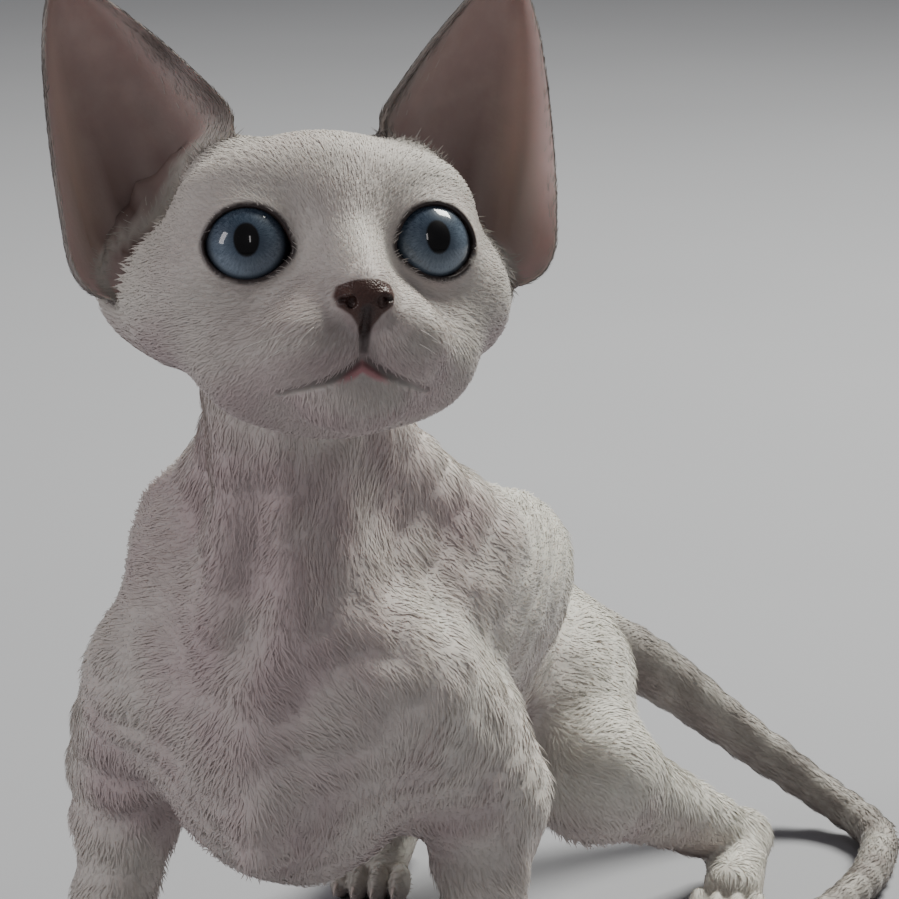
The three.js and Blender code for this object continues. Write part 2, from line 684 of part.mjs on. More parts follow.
const smoothValue = (values, t) =>
  new THREE.SplineCurve(values.map((v, i) => new THREE.Vector2(i, v))).getPoint(t).y;
function earCup(side, lean) {
  const leant = (p) => vec(mirrored(p, side)).applyMatrix4(lean);
  const edge = (points) => new THREE.CatmullRomCurve3(points.map(leant));
  const inner = edge(earInnerEdge);
  const outer = edge(earOuterEdge);
  const middle = (v) => inner.getPoint(v).lerp(outer.getPoint(v), 0.5);
  const wall = (v, u) => {
    const chord = outer.getPoint(v).sub(inner.getPoint(v)).multiplyScalar(0.5);
    const axis = middle(Math.min(v + EAR_STEADY, 1)).sub(middle(Math.max(v - EAR_STEADY, 0)));
    const back = chord.clone().cross(axis).normalize();
    if (back.y < 0) back.negate();
    const angle = Math.PI * u;
    return middle(v)
      .addScaledVector(chord, -Math.cos(angle))
      .addScaledVector(back, smoothValue(EAR_DEPTH, v) * Math.sin(angle));
  };
  const skin = (v, u, offset) => {
    const e = 0.01;
    const at = Math.min(v, EAR_TIP_FROM);
    const dv = wall(at + e, u).sub(wall(Math.max(at - e, 0), u));
    const du = wall(at, Math.min(u + e, 1)).sub(wall(at, Math.max(u - e, 0)));
    const normal = du.cross(dv).normalize();
    if (side > 0) normal.negate();
    return wall(v, u).addScaledVector(normal, offset);
  };
  const half = (v) => (EAR_THICKNESS / 2) * (1 - 0.5 * v ** 4);
  const mouthOf = (v, u) => {
    const chord = outer.getPoint(v).sub(inner.getPoint(v)).multiplyScalar(0.5);
    chord.setLength(chord.length() + half(v) + POCKET_GAP);
    const across = middle(v).addScaledVector(chord, -Math.cos(Math.PI * u));
    return across.setY(across.y - POCKET_LIP);
  };
  const rowAt = (i) => 1 - (1 - EAR_FOOT) * (1 - i / EAR_ROWS) ** EAR_CLOSER_UP;
  const rows = Array.from({ length: EAR_ROWS + 1 }, (_, i) => rowAt(i));
  const columns = Array.from({ length: EAR_COLUMNS + 1 }, (_, j) => j / EAR_COLUMNS);
  const sheet = (values, pointAt) => values.map((v) => columns.map((u) => pointAt(v, u)));
  const inside = sheet(rows, (v, u) => skin(v, u, -half(v)));
  const outside = sheet(rows, (v, u) => skin(v, u, half(v)));
  const pocket = sheet([0, ...rows], (v, u) => skin(v, u, half(v) + POCKET_GAP));
  return {
    shell: closedSheet([inside, outside], side < 0),
    pocket: closedSheet([sheet([0, ...rows], mouthOf), pocket], side < 0),
  };
}

// A closed shell between two sheets of points, rows by columns
function closedSheet([near, far], outward) {
  const positions = [];
  const face = (a, b, c, d) => {
    const ring = outward ? [a, b, c, a, c, d] : [a, c, b, a, d, c];
    for (const p of ring) positions.push(p.x, p.y, p.z);
  };
  const [rows, columns] = [near.length - 1, near[0].length - 1];
  for (let i = 0; i < rows; i++) {
    for (let j = 0; j < columns; j++) {
      face(far[i][j], far[i][j + 1], far[i + 1][j + 1], far[i + 1][j]);
      face(near[i][j], near[i + 1][j], near[i + 1][j + 1], near[i][j + 1]);
    }
    face(near[i][0], far[i][0], far[i + 1][0], near[i + 1][0]);
    face(far[i][columns], near[i][columns], near[i + 1][columns], far[i + 1][columns]);
  }
  for (let j = 0; j < columns; j++) {
    face(near[0][j], near[0][j + 1], far[0][j + 1], far[0][j]);
    face(far[rows][j], far[rows][j + 1], near[rows][j + 1], near[rows][j]);
  }
  const geometry = new THREE.BufferGeometry();
  geometry.setAttribute("position", new THREE.Float32BufferAttribute(positions, 3));
  return solidOf(geometry);
}
const EAR_HINGE = [24, 0, 5];
const ears = {};
for (const [name, side] of Object.entries(SIDES)) {
  const hinge = vec(mirrored(EAR_HINGE, side));
  const lean = new THREE.Matrix4()
    .makeTranslation(hinge)
    .multiply(turnOf(0, side * EAR_LEAN[name]))
    .multiply(new THREE.Matrix4().makeTranslation(hinge.clone().negate()));
  const { shell, pocket } = earCup(side, lean);
  ears[name] = shell;
  headSolid = headSolid.subtract(pocket);
}

addPart("head", headSolid, "coat", head);
addPart("nose", nose, "nose", head);
for (const name of Object.keys(SIDES)) {
  addPart(`eye_${name}`, eyes[name], "eye", head);
  addPart(`ear_${name}`, ears[name], "point", head);
}

// The middle of the whole figure's footprint is the origin
const box = new THREE.Box3().setFromObject(root, true);
const centre = box.getCenter(new THREE.Vector3());
stance.position.set(-centre.x, -centre.y, 0);

export default root;
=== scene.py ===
# %% [markdown]
# # A Devon rex kitten, from smooth fields to a wavy coat
#
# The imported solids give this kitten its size, its stance and the places of its eyes. They are faceted
# and bare. This lesson dresses them: one smooth skin with lids, lips and nostrils, two cupped ears, wet
# blue eyes, whiskers, claws, and a short wavy coat of small tufts that follow the lie of the fur.
# The first cell loads the solids and keeps their box, so that the finished kitten can be compared with it.

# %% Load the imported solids
import json
import math

import bmesh
import bpy
import numpy as np
from mathutils import Matrix, Vector
from mathutils.bvhtree import BVHTree

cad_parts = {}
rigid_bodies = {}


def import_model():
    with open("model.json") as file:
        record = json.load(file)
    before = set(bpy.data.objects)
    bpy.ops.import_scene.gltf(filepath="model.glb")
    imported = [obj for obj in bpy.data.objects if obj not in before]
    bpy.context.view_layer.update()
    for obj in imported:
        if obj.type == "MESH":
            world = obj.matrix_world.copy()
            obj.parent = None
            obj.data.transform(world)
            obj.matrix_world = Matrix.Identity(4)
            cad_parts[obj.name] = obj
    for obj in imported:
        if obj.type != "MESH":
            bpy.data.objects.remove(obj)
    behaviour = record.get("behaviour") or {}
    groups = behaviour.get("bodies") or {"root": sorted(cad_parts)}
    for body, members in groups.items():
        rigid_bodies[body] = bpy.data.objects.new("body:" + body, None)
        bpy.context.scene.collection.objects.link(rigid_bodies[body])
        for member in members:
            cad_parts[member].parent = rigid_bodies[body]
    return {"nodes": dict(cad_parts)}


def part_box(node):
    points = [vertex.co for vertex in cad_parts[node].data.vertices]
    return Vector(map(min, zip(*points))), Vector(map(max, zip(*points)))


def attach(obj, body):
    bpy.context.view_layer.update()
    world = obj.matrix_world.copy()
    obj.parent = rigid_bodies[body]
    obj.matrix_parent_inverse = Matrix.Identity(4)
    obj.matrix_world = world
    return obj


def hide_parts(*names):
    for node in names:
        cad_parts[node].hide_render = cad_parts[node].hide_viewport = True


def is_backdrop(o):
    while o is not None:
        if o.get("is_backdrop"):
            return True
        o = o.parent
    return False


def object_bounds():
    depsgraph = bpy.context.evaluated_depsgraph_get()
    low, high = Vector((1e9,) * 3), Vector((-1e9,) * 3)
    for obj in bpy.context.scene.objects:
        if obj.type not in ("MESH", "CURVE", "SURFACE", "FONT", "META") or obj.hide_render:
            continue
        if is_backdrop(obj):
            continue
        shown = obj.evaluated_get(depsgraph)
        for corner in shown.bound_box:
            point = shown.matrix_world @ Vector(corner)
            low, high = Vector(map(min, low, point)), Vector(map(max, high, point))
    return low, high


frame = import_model()
cad_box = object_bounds()
print("solids:", len(frame["nodes"]), "box in metres:", cad_box)

# %% [markdown]
# ## Places and turns
#
# Sizes are written in millimetres, as a modeller measures an animal, and become metres at the very end.
# The head has a frame of its own: x to the kitten's left, -y out of the nose, z up. It is turned to the
# left, tipped back and slightly rolled. The solids were centred on their footprint, so the distance from
# the frame of these numbers to the part's frame is read from the left eye's solid.

# %% The head's frame and the shift to the part's frame
MM = 0.001
SIDES = {"left": 1, "right": -1}
HEAD_AT = np.array([4.6, -19.8, 151.0])
HEAD_YAW = 30
HEAD_PITCH = 19
HEAD_ROLL = 1.7
EYE_AT = np.array([14.5, -12.6, 2.0])
EYEBALL_RADIUS = 8.3
EYE_OUTWARD = 12


def about(axis, degrees):
    return np.array(Matrix.Rotation(math.radians(degrees), 3, axis))


def turn(pitch=0, roll=0, yaw=0):
    return about("Z", yaw) @ about("Y", roll) @ about("X", pitch)


HEAD_TURN = about("Z", HEAD_YAW) @ about("X", -HEAD_PITCH) @ about("Y", HEAD_ROLL)


def mirrored(point, side):
    return np.array(point) * (side, 1, 1)


def from_head(points):
    return points @ HEAD_TURN.T + HEAD_AT


def to_head(points):
    return (points - HEAD_AT) @ HEAD_TURN


eye_low, eye_high = (np.array(corner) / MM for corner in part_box("eye_left"))
SHIFT = (eye_low + eye_high) / 2 - from_head(EYE_AT)


def in_metres(points):
    return (points + SHIFT) * MM


print("shift to the part's frame, mm:", SHIFT.round(2))

# %% [markdown]
# ## Flesh as a field
#
# An animal has no straight edges, so its flesh is described by a field: a number at each point that is
# negative inside. A mass is an ellipsoid, such as a cheek or a ribcage, and a limb is a cone with round
# ends between two joints. Each joins what was there before it through a smooth minimum, whose softness
# is the width of the fillet between them. It is how a sculptor adds clay to an armature.

# %% Masses, limbs and how they merge
FAR = 1e3


def mass(centre, half, softness, pitch=0, roll=0, yaw=0):
    centre, half, axes = np.array(centre), np.array(half), turn(pitch, roll, yaw)

    def distance(p):
        q = (p - centre) @ axes
        a = np.linalg.norm(q / half, axis=1)
        b = np.linalg.norm(q / half**2, axis=1)
        return a * (a - 1) / np.maximum(b, 1e-9)

    return distance, softness


def limb(start, end, r1, r2, softness):
    start = np.array(start, float)
    along = np.array(end, float) - start
    l2 = along @ along
    rr = r1 - r2
    a2 = l2 - rr * rr

    def distance(p):
        q = p - start
        h = q @ along
        g = h - l2
        x2 = ((q * l2 - h[:, None] * along) ** 2).sum(1)
        h2, g2 = h * h * l2, g * g * l2
        k = np.sign(rr) * rr * rr * x2
        d = (np.sqrt(x2 * a2 / l2) + h * rr) / l2 - r1
        d = np.where(np.sign(h) * a2 * h2 < k, np.sqrt(x2 + h2) / l2 - r1, d)
        return np.where(np.sign(g) * a2 * g2 > k, np.sqrt(x2 + g2) / l2 - r2, d)

    return distance, softness


def merge(a, b, softness):
    h = np.maximum(softness - np.abs(a - b), 0)
    return np.minimum(a, b) - h * h / (4 * softness)


def carve(a, hollow, softness):
    return -merge(-a, hollow, softness)


def field_of(forms):
    def field(p):
        d = np.full(len(p), FAR)
        for distance, softness in forms:
            d = merge(d, distance(p), softness)
        return d

    return field


def smoothstep(low, high, x):
    t = np.clip((x - low) / (high - low), 0, 1)
    return t * t * (3 - 2 * t)


def bell(x, width):
    return np.exp(-((x / width) ** 2))


# %% [markdown]
# ## The trunk, the legs and the tail
#
# These forms are the ones that the solids were cut from: a deep narrow chest, a tucked waist, shoulders
# and haunches as pairs, and each leg from joint to joint. The kitten half crouches on its hind legs and
# stands tall in front. The skin adds what the solids leave out, such as the shoulder blades' edges, the
# cords of the neck and the breastbone.

# %% Forms of the body
CHEST_X = -5
CHEST_TOP = 113
CHEST_BOTTOM = 40
CHEST_MIDDLE = (CHEST_TOP + CHEST_BOTTOM) / 2
FORE_STANCE = 34
FORE_MIDDLE = CHEST_X - 1.5
TOE_SPACING = 4
TOE_REACH = 7.5
TOE_CURVE = 1.3
TOE_DROP = 2.4
TOE_STEPS = (-1.5, -0.5, 0.5, 1.5)

torso = [
    mass([CHEST_X, 24, CHEST_MIDDLE], [30, 40, CHEST_TOP - CHEST_MIDDLE], 6),
    mass([CHEST_X, -6, 73], [26, 24, 33], 10),
    mass([-2, 74, 64], [21, 42, 24], 12),
    mass([0, 102, 57.5], [15, 34, 17.5], 12),
    mass([-1, 125, 52.5], [14, 24, 16], 10),
    mass([CHEST_X + 20.5, 46, 82.5], [15.5, 44, 20], 12, pitch=-9, roll=12),
    mass([CHEST_X - 21, 18, 88], [13.5, 30, 21.5], 12, pitch=-12, roll=-12),
    limb([0, 134, 53], [7, 157, 45.5], 11, 7.6, 8),
]
neck = [
    limb([-5, 14, 92], [-4.5, -8, 138], 21.5, 14, 11),
    limb([-3, -8, 84], [-5, -14, 128], 15.5, 11, 9),
    limb([-13, 2, 122], [-26, 10, 100], 7.5, 9, 9),
    limb([4, 4, 120], [16, 26, 98], 8, 10, 9),
]
breast_cords = [
    limb([0, -24, 92], [-1, -21.5, 122], 3.4, 3, 6),
    limb([-12, -24, 92], [-9, -21.5, 122], 4.5, 4, 6),
    limb([CHEST_X, -25.5, 52], [CHEST_X, -26.5, 80], 4.5, 3.5, 7),
]


def toe_centres(knuckles):
    x, y, z = knuckles
    return [
        np.array([x + step * TOE_SPACING, y - TOE_REACH + TOE_CURVE * abs(step), z - TOE_DROP])
        for step in TOE_STEPS
    ]


def toes(knuckles):
    return [mass(centre, [2.7, 5.6, 4.7], 1.1) for centre in toe_centres(knuckles)]


def foreleg_joints(side):
    points = [(22.5, -6, 76), (FORE_STANCE - 1, 9, 54), (FORE_STANCE, -5, 18), (FORE_STANCE + 0.5, -15, 6.6)]
    return [np.array([FORE_MIDDLE + side * x, y, z]) for x, y, z in points]


def foreleg(side):
    shoulder, elbow, wrist, knuckles = foreleg_joints(side)
    upper_arm = mass([FORE_MIDDLE + side * 30, 8, 61], [10.5, 14, 17], 8)
    bones = [limb(shoulder, elbow, 14.5, 11, 10), upper_arm, limb(elbow, wrist, 10.5, 8, 6)]
    return bones + [limb(wrist, knuckles, 8, 7.4, 4)] + toes(knuckles)


HIND_JOINTS = {
    "left": [(7, 116, 54), (26, 92, 35), (45, 142, 10), (48, 119, 5.9)],
    "right": [(-9, 116, 54), (-21, 92, 35), (-27, 142, 10), (-25, 119, 5.9)],
}


def hindleg(name):
    hip, knee, hock, knuckles = (np.array(p, float) for p in HIND_JOINTS[name])
    thigh = (hip + knee) / 2 + (SIDES[name] * 2, 9, 0)
    bones = [limb(hip, knee, 14.5, 12.5, 10), mass(thigh, [11, 21, 18], 8), limb(knee, hock, 12, 6.4, 8)]
    return bones + [limb(hock, knuckles, 6.4, 6.6, 3)] + toes(knuckles)


forelegs = foreleg(1) + foreleg(-1)
hindlegs = hindleg("left") + hindleg("right")
print("forms in the body:", len(torso + neck + breast_cords + forelegs + hindlegs))

# %% [markdown]
# The tail is a chain of short limbs along one smooth curve. The curve is a Catmull-Rom spline with
# centripetal spacing, the same kind that the solids follow, so it runs where the tail's solids do. The
# same function draws the edges of the ears later.

# %% A centripetal spline and the tail along it
def spline(points, t):
    points = np.array(points, float)
    t = np.asarray(t, float)
    first = 2 * points[0] - points[1]
    last = 2 * points[-1] - points[-2]
    padded = np.vstack([first, points, last])
    place = np.clip(t, 0, 1) * (len(points) - 1)
    i = np.minimum(place.astype(int), len(points) - 2)
    w = (place - i)[..., None]
    p0, p1, p2, p3 = (padded[i + k] for k in range(4))
    pairs = ((p0, p1), (p1, p2), (p2, p3))
    gap0, gap1, gap2 = (np.sqrt(np.linalg.norm(b - a, axis=-1))[..., None] for a, b in pairs)
    m1 = ((p1 - p0) / gap0 - (p2 - p0) / (gap0 + gap1) + (p2 - p1) / gap1) * gap1
    m2 = ((p2 - p1) / gap1 - (p3 - p1) / (gap1 + gap2) + (p3 - p2) / gap2) * gap1
    c2 = -3 * p1 + 3 * p2 - 2 * m1 - m2
    c3 = 2 * p1 - 2 * p2 + m1 + m2
    return p1 + w * (m1 + w * (c2 + w * c3))


TAIL_WAY = [
    (3, 145, 52.5),
    (7, 155, 47.5),
    (19, 170, 37),
    (37, 182, 20),
    (54, 184, 8),
    (67, 172, 4.2),
    (71, 152, 4),
    (70, 129, 4),
    (63, 108, 3.8),
    (47, 96.5, 3.4),
    (28, 94, 3),
]
TAIL_PIECES = 30
TAIL_ROOT_RADIUS = 7.6
TAIL_FIRST_TAPER = 3.2
TAIL_LAST_TAPER = 1.8
FINE_STEPS = 600


def even_points(points, count):
    fine = spline(points, np.linspace(0, 1, FINE_STEPS))
    run = np.concatenate([[0], np.linalg.norm(np.diff(fine, axis=0), axis=1).cumsum()])
    return np.stack([np.interp(np.linspace(0, run[-1], count), run, fine[:, c]) for c in range(3)], axis=1)


tail_line = even_points(TAIL_WAY, TAIL_PIECES + 1)
tail_share = np.linspace(0, 1, TAIL_PIECES + 1)
tail_radius = TAIL_ROOT_RADIUS - TAIL_FIRST_TAPER * smoothstep(0, 0.45, tail_share)
tail_radius = tail_radius - TAIL_LAST_TAPER * smoothstep(0.6, 1, tail_share)
tail = [
    limb(tail_line[i], tail_line[i + 1], tail_radius[i], tail_radius[i + 1], 2.5)
    for i in range(TAIL_PIECES)
]
tail_length = np.linalg.norm(np.diff(tail_line, axis=0), axis=1).sum()
print("tail length, mm:", round(float(tail_length), 1))

# %% [markdown]
# ## The head
#
# A Devon rex has a short wedge of a head: a rounded skull, strong cheekbones, a dip at the bridge of the
# nose and full whisker pads over a small chin. Each of these is a mass in the head's own frame, and each
# eye sits under a round lid.

# %% Forms of the head
skull = [
    mass([0, 6, 3.5], [27, 26, 20], 4),
    mass([0, -6, 8.5], [20, 15, 14], 6),
]
for side in SIDES.values():
    skull += [
        mass([side * 19.5, -2, -4.5], [13, 15, 12], 9, roll=side * 20, yaw=side * -18),
        mass([side * 15, -8.5, 10], [9, 7.5, 7.5], 7),
        mass([side * 8, -26, -15.4], [7.7, 8, 6.8], 2.4),
        mass([side * 15, -11, -16], [8, 9, 8], 8),
        mass([side * 27, 9, 0], [9.5, 9, 10], 7),
        mass([side * 15, 3, 16.5], [8, 9, 7.5], 6),
    ]
skull += [
    mass([0, -9, -16.5], [18, 18, 12.5], 9),
    mass([0, -18.5, -10], [11, 11, 9], 6),
    limb([0, -16.5, 5], [0, -29.5, -7], 6.2, 4.6, 5),
    mass([0, -31, -9.5], [4.8, 4, 4.4], 3),
    mass([0, -22, -24.6], [9, 7.2, 6], 4),
]
LID_THICKNESS = 1.5
lids = [mass(mirrored(EYE_AT, side), [EYEBALL_RADIUS + LID_THICKNESS] * 3, 3) for side in SIDES.values()]
nose_wings = [mass([side * 3.1, -32.6, -9.6], [2.2, 2.6, 2.2], 1.4) for side in SIDES.values()]

trunk_field = field_of(torso + neck + breast_cords + forelegs + hindlegs)
tail_field = field_of(tail)
head_field = field_of(skull + lids + nose_wings)

# %% [markdown]
# The solids follow the outside of the coat, so the skin lies inside them by the coat's depth: thin on
# the face, the paws and the tail, deeper on the body. Below, the field of the whole kitten is put
# together in the order that matters: flesh first, then the coat's depth taken off.

# %% The whole kitten, less its coat
BODY_COAT = 1.7
FACE_COAT = 0.75
PAW_COAT = 0.8
TAIL_COAT = 1.1
FACE_COAT_ENDS = (28, 42)
PAW_COAT_ENDS = (7, 20)
HEAD_REACH = 62
TAIL_JOIN = 4
HEAD_JOIN = 7
FLOOR_CLEAR = 0.15


def coat_depth(p, tail_distance, trunk_distance):
    face = 1 - smoothstep(*FACE_COAT_ENDS, np.linalg.norm(p - HEAD_AT, axis=1))
    paw = 1 - smoothstep(*PAW_COAT_ENDS, p[:, 2])
    on_tail = smoothstep(0, 4, trunk_distance - tail_distance)
    depth = BODY_COAT + face * (FACE_COAT - BODY_COAT)
    depth = depth + paw * (PAW_COAT - depth)
    return depth + on_tail * (TAIL_COAT - depth)


def flesh(p):
    trunk, tail_distance = trunk_field(p), tail_field(p)
    d = merge(trunk, tail_distance, TAIL_JOIN)
    near = np.linalg.norm(p - HEAD_AT, axis=1) < HEAD_REACH
    if near.any():
        d[near] = merge(d[near], head_field(to_head(p[near])), HEAD_JOIN)
    return d + coat_depth(p, tail_distance, trunk)


def flesh_from_head(q):
    return flesh(from_head(q))


# %% [markdown]
# ## Lids, lips and nostrils
#
# The features are carved into the field, each with a small softness so that its rim is round. Each eye
# gets a hollow for the eyeball and an opening that is an oval drawn out to a corner beside the nose. The
# mouth is a fine groove that dips from under the nose to both corners, found on the face itself: a
# bisection walks in from the front until it meets the flesh. The nostrils are small hollows with a slit
# that curls outwards.

# %% Points on the face and the line of the mouth
MOUTH_HALF_WIDTH = 12.2
MOUTH_MIDDLE_Z = -18.6
MOUTH_FALL = 4.2
MOUTH_BEND = 6
PHILTRUM_TOP = -11.5
NOSTRIL_AT = (2.5, -10.1)
SLIT_AT = (4.0, -9.7)
FACE_BACK = -10.0
FACE_FRONT = -46.0
BISECTIONS = 22


def face_points(x, z):
    x, z = np.broadcast_arrays(np.asarray(x, float), np.asarray(z, float))
    inside, outside = np.full(x.shape, FACE_BACK), np.full(x.shape, FACE_FRONT)
    for _ in range(BISECTIONS):
        middle = (inside + outside) / 2
        solid = flesh_from_head(np.stack([x, middle, z], axis=1)) < 0
        inside, outside = np.where(solid, middle, inside), np.where(solid, outside, middle)
    return np.stack([x, inside, z], axis=1)


def mouth_height(x):
    return MOUTH_MIDDLE_Z - MOUTH_FALL * np.tanh(np.abs(x) / MOUTH_BEND)


def pair_on_face(x, z):
    return np.vstack([face_points([side * x], [z]) for side in SIDES.values()])


mouth_x = np.linspace(-MOUTH_HALF_WIDTH, MOUTH_HALF_WIDTH, 41)
mouth_line = face_points(mouth_x, mouth_height(mouth_x))
philtrum_line = face_points(np.zeros(13), np.linspace(PHILTRUM_TOP, MOUTH_MIDDLE_Z, 13))
nostrils = pair_on_face(*NOSTRIL_AT)
nostril_slits = pair_on_face(*SLIT_AT)
print("corner of the mouth, head frame:", mouth_line[-1].round(1))


def distance_to_line(p, line):
    best = np.full(len(p), FAR)
    for a, b in zip(line[:-1], line[1:]):
        ab = b - a
        t = np.clip((p - a) @ ab / (ab @ ab), 0, 1)
        best = np.minimum(best, np.linalg.norm(p - a - t[:, None] * ab, axis=1))
    return best


# %% The eyes' openings
LID_HALF_WIDTH = 6.85
LID_HALF_HEIGHT = 6.1
INNER_CORNER = 0.7
INNER_CORNER_BELOW = 0.22
INNER_CORNER_WIDTH = 0.30
OUTER_CORNER = 0.3
OUTER_CORNER_WIDTH = 0.35
LID_FLARE = 0.12
LID_ROUND = 0.7
SOCKET_DEPTH = 0.9


def eye_frame(q, side):
    axes = about("Z", side * EYE_OUTWARD)
    return (q - mirrored(EYE_AT, side)) @ axes


def lid_distance(q, side):
    e = eye_frame(q, side)
    across, up = -e[:, 0] * side, e[:, 2]
    angle = np.arctan2(up, across)
    reach = np.hypot(across, up)
    oval = 1 / np.sqrt((np.cos(angle) / LID_HALF_WIDTH) ** 2 + (np.sin(angle) / LID_HALF_HEIGHT) ** 2)
    inner = INNER_CORNER * bell(angle + INNER_CORNER_BELOW, INNER_CORNER_WIDTH)
    outer = OUTER_CORNER * bell(np.abs(angle) - math.pi, OUTER_CORNER_WIDTH)
    return reach - oval - (inner + outer) + LID_FLARE * np.maximum(e[:, 1] + EYEBALL_RADIUS, -4)


def eye_hollow(q, side):
    e = eye_frame(q, side)
    floor = EYEBALL_RADIUS - SOCKET_DEPTH - np.linalg.norm(e, axis=1)
    return np.maximum.reduce([lid_distance(q, side), floor, e[:, 1] + 1])


# %% The skin's field, with everything carved
MOUTH_GROOVE = 0.62
MOUTH_THINS = 0.45
PHILTRUM_GROOVE = 0.5
LIP_ROUND = 0.7
PHILTRUM_ROUND = 0.8
NOSTRIL_HALF = [0.85, 2.2, 1.0]
SLIT_HALF = [1.0, 1.2, 0.42]
NOSTRIL_ROUND = 0.35
SLIT_ROUND = 0.3
FLOOR_ROUND = 0.8


def skin_field(p):
    d = flesh(p)
    near = np.linalg.norm(p - HEAD_AT, axis=1) < HEAD_REACH
    near &= to_head(p)[:, 1] < 2
    if near.any():
        q = to_head(p[near])
        face = d[near]
        for side in SIDES.values():
            face = carve(face, eye_hollow(q, side), LID_ROUND)
        mouth_width = MOUTH_GROOVE * (1 - MOUTH_THINS * (np.abs(q[:, 0]) / MOUTH_HALF_WIDTH) ** 2)
        face = carve(face, distance_to_line(q, mouth_line) - mouth_width, LIP_ROUND)
        face = carve(face, distance_to_line(q, philtrum_line) - PHILTRUM_GROOVE, PHILTRUM_ROUND)
        for hole, slit in zip(nostrils, nostril_slits):
            face = carve(face, mass(hole, NOSTRIL_HALF, 1)[0](q), NOSTRIL_ROUND)
            face = carve(face, mass(slit, SLIT_HALF, 1)[0](q), SLIT_ROUND)
        d[near] = face
    return carve(d, p[:, 2] - FLOOR_CLEAR, FLOOR_ROUND)


# %% [markdown]
# ## From field to mesh
#
# The field is sampled on a grid and meshed with the dual method: one vertex in each cell that the
# surface crosses, one quad across each grid edge that it crosses. Quads follow the form evenly, which
# suits a skin that is subdivided and dressed later. A cell can hold two separate sheets of surface, as
# between two toes, so a table says for each pattern of inside corners which crossed edges belong to
# which sheet. To save time the field is only worked out near the surface, found on a coarse grid first.

# %% The table of sheets in a cell
SQUARE = ((0, 0), (1, 0), (1, 1), (0, 1))


def corner_bits(axis, along, u, v):
    return along << axis | u << (axis + 1) % 3 | v << (axis + 2) % 3


CELL_EDGES = [
    (corner_bits(axis, 0, u, v), corner_bits(axis, 1, u, v))
    for axis in range(3)
    for u in (0, 1)
    for v in (0, 1)
]
CELL_FACES = [[corner_bits(axis, s, u, v) for u, v in SQUARE] for axis in range(3) for s in (0, 1)]


def sheets_of(mask):
    inside = [(mask >> corner) & 1 for corner in range(8)]
    sheet = [-1 if inside[a] == inside[b] else n for n, (a, b) in enumerate(CELL_EDGES)]
    number = {frozenset(edge): n for n, edge in enumerate(CELL_EDGES)}
    for ring in CELL_FACES:
        for n in range(4):
            if not inside[ring[n]] or inside[ring[n - 1]]:
                continue
            last = n
            while inside[ring[(last + 1) % 4]]:
                last += 1
            gone = sheet[number[frozenset((ring[last % 4], ring[(last + 1) % 4]))]]
            kept = sheet[number[frozenset((ring[n - 1], ring[n]))]]
            sheet = [kept if s == gone else s for s in sheet]
    order = sorted(set(sheet) - {-1})
    return [order.index(s) if s >= 0 else -1 for s in sheet]


SHEETS = np.array([sheets_of(mask) for mask in range(256)])
SHEET_COUNT = SHEETS.max(axis=1) + 1
print("patterns with two or more sheets:", int((SHEET_COUNT > 1).sum()))

# %% Sample a field near its surface
COARSE = 6.0
BAND = 7.5


def sample(field, axes):
    coarse_axes = [np.arange(a[0] - COARSE, a[-1] + 2 * COARSE, COARSE) for a in axes]
    grid = np.stack(np.meshgrid(*coarse_axes, indexing="ij"), axis=-1)
    coarse = field(grid.reshape(-1, 3)).reshape(grid.shape[:3])
    nearest = [np.rint((a - c[0]) / COARSE).astype(int) for a, c in zip(axes, coarse_axes)]
    value = coarse[np.ix_(*nearest)]
    close = np.argwhere(np.abs(value) < BAND)
    points = np.stack([axes[c][close[:, c]] for c in range(3)], axis=1)
    value[tuple(close.T)] = field(points)
    return value


# %% Mesh the zero surface with dual cells
def dual_surface(field, axes):
    value = sample(field, axes)
    inside = value < 0
    cells = tuple(n - 1 for n in value.shape)

    def corner_of(array, corner):
        return array[tuple(slice((corner >> c) & 1, ((corner >> c) & 1) + cells[c]) for c in range(3))]

    mask = sum(corner_of(inside, corner).astype(int) << corner for corner in range(8))
    active = np.argwhere((mask > 0) & (mask < 255))
    patterns = mask[tuple(active.T)]
    first = np.concatenate([[0], SHEET_COUNT[patterns].cumsum()])
    first_of_cell = np.full(cells, -1)
    first_of_cell[tuple(active.T)] = first[:-1]
    total, weight = np.zeros((first[-1], 3)), np.zeros(first[-1])
    for edge, (a, b) in enumerate(CELL_EDGES):
        crossed = SHEETS[patterns, edge] >= 0
        at_a, at_b = (active[crossed] + [(c >> k) & 1 for k in range(3)] for c in (a, b))
        da, db = value[tuple(at_a.T)], value[tuple(at_b.T)]
        t = (da / (da - db))[:, None]
        pa, pb = (np.stack([axes[c][at[:, c]] for c in range(3)], axis=1) for at in (at_a, at_b))
        vertex = first[:-1][crossed] + SHEETS[patterns[crossed], edge]
        np.add.at(total, vertex, pa + t * (pb - pa))
        np.add.at(weight, vertex, 1)
    quads = []
    for axis in range(3):
        near, far = (np.take(inside, range(s, inside.shape[axis] - 1 + s), axis) for s in (0, 1))
        change = np.argwhere(near != far)
        room = [change[:, (axis + k) % 3] for k in (1, 2)]
        change = change[(room[0] > 0) & (room[1] > 0)]
        ring = []
        for u, v in SQUARE:
            cell = change.copy()
            cell[:, (axis + 1) % 3] -= u
            cell[:, (axis + 2) % 3] -= v
            ring.append(first_of_cell[tuple(cell.T)] + SHEETS[mask[tuple(cell.T)], axis * 4 + u * 2 + v])
        ring = np.stack(ring, axis=1)
        outside_first = ~inside[tuple(change.T)]
        ring[outside_first] = ring[outside_first][:, ::-1]
        quads.append(ring)
    return total / weight[:, None], np.vstack(quads)
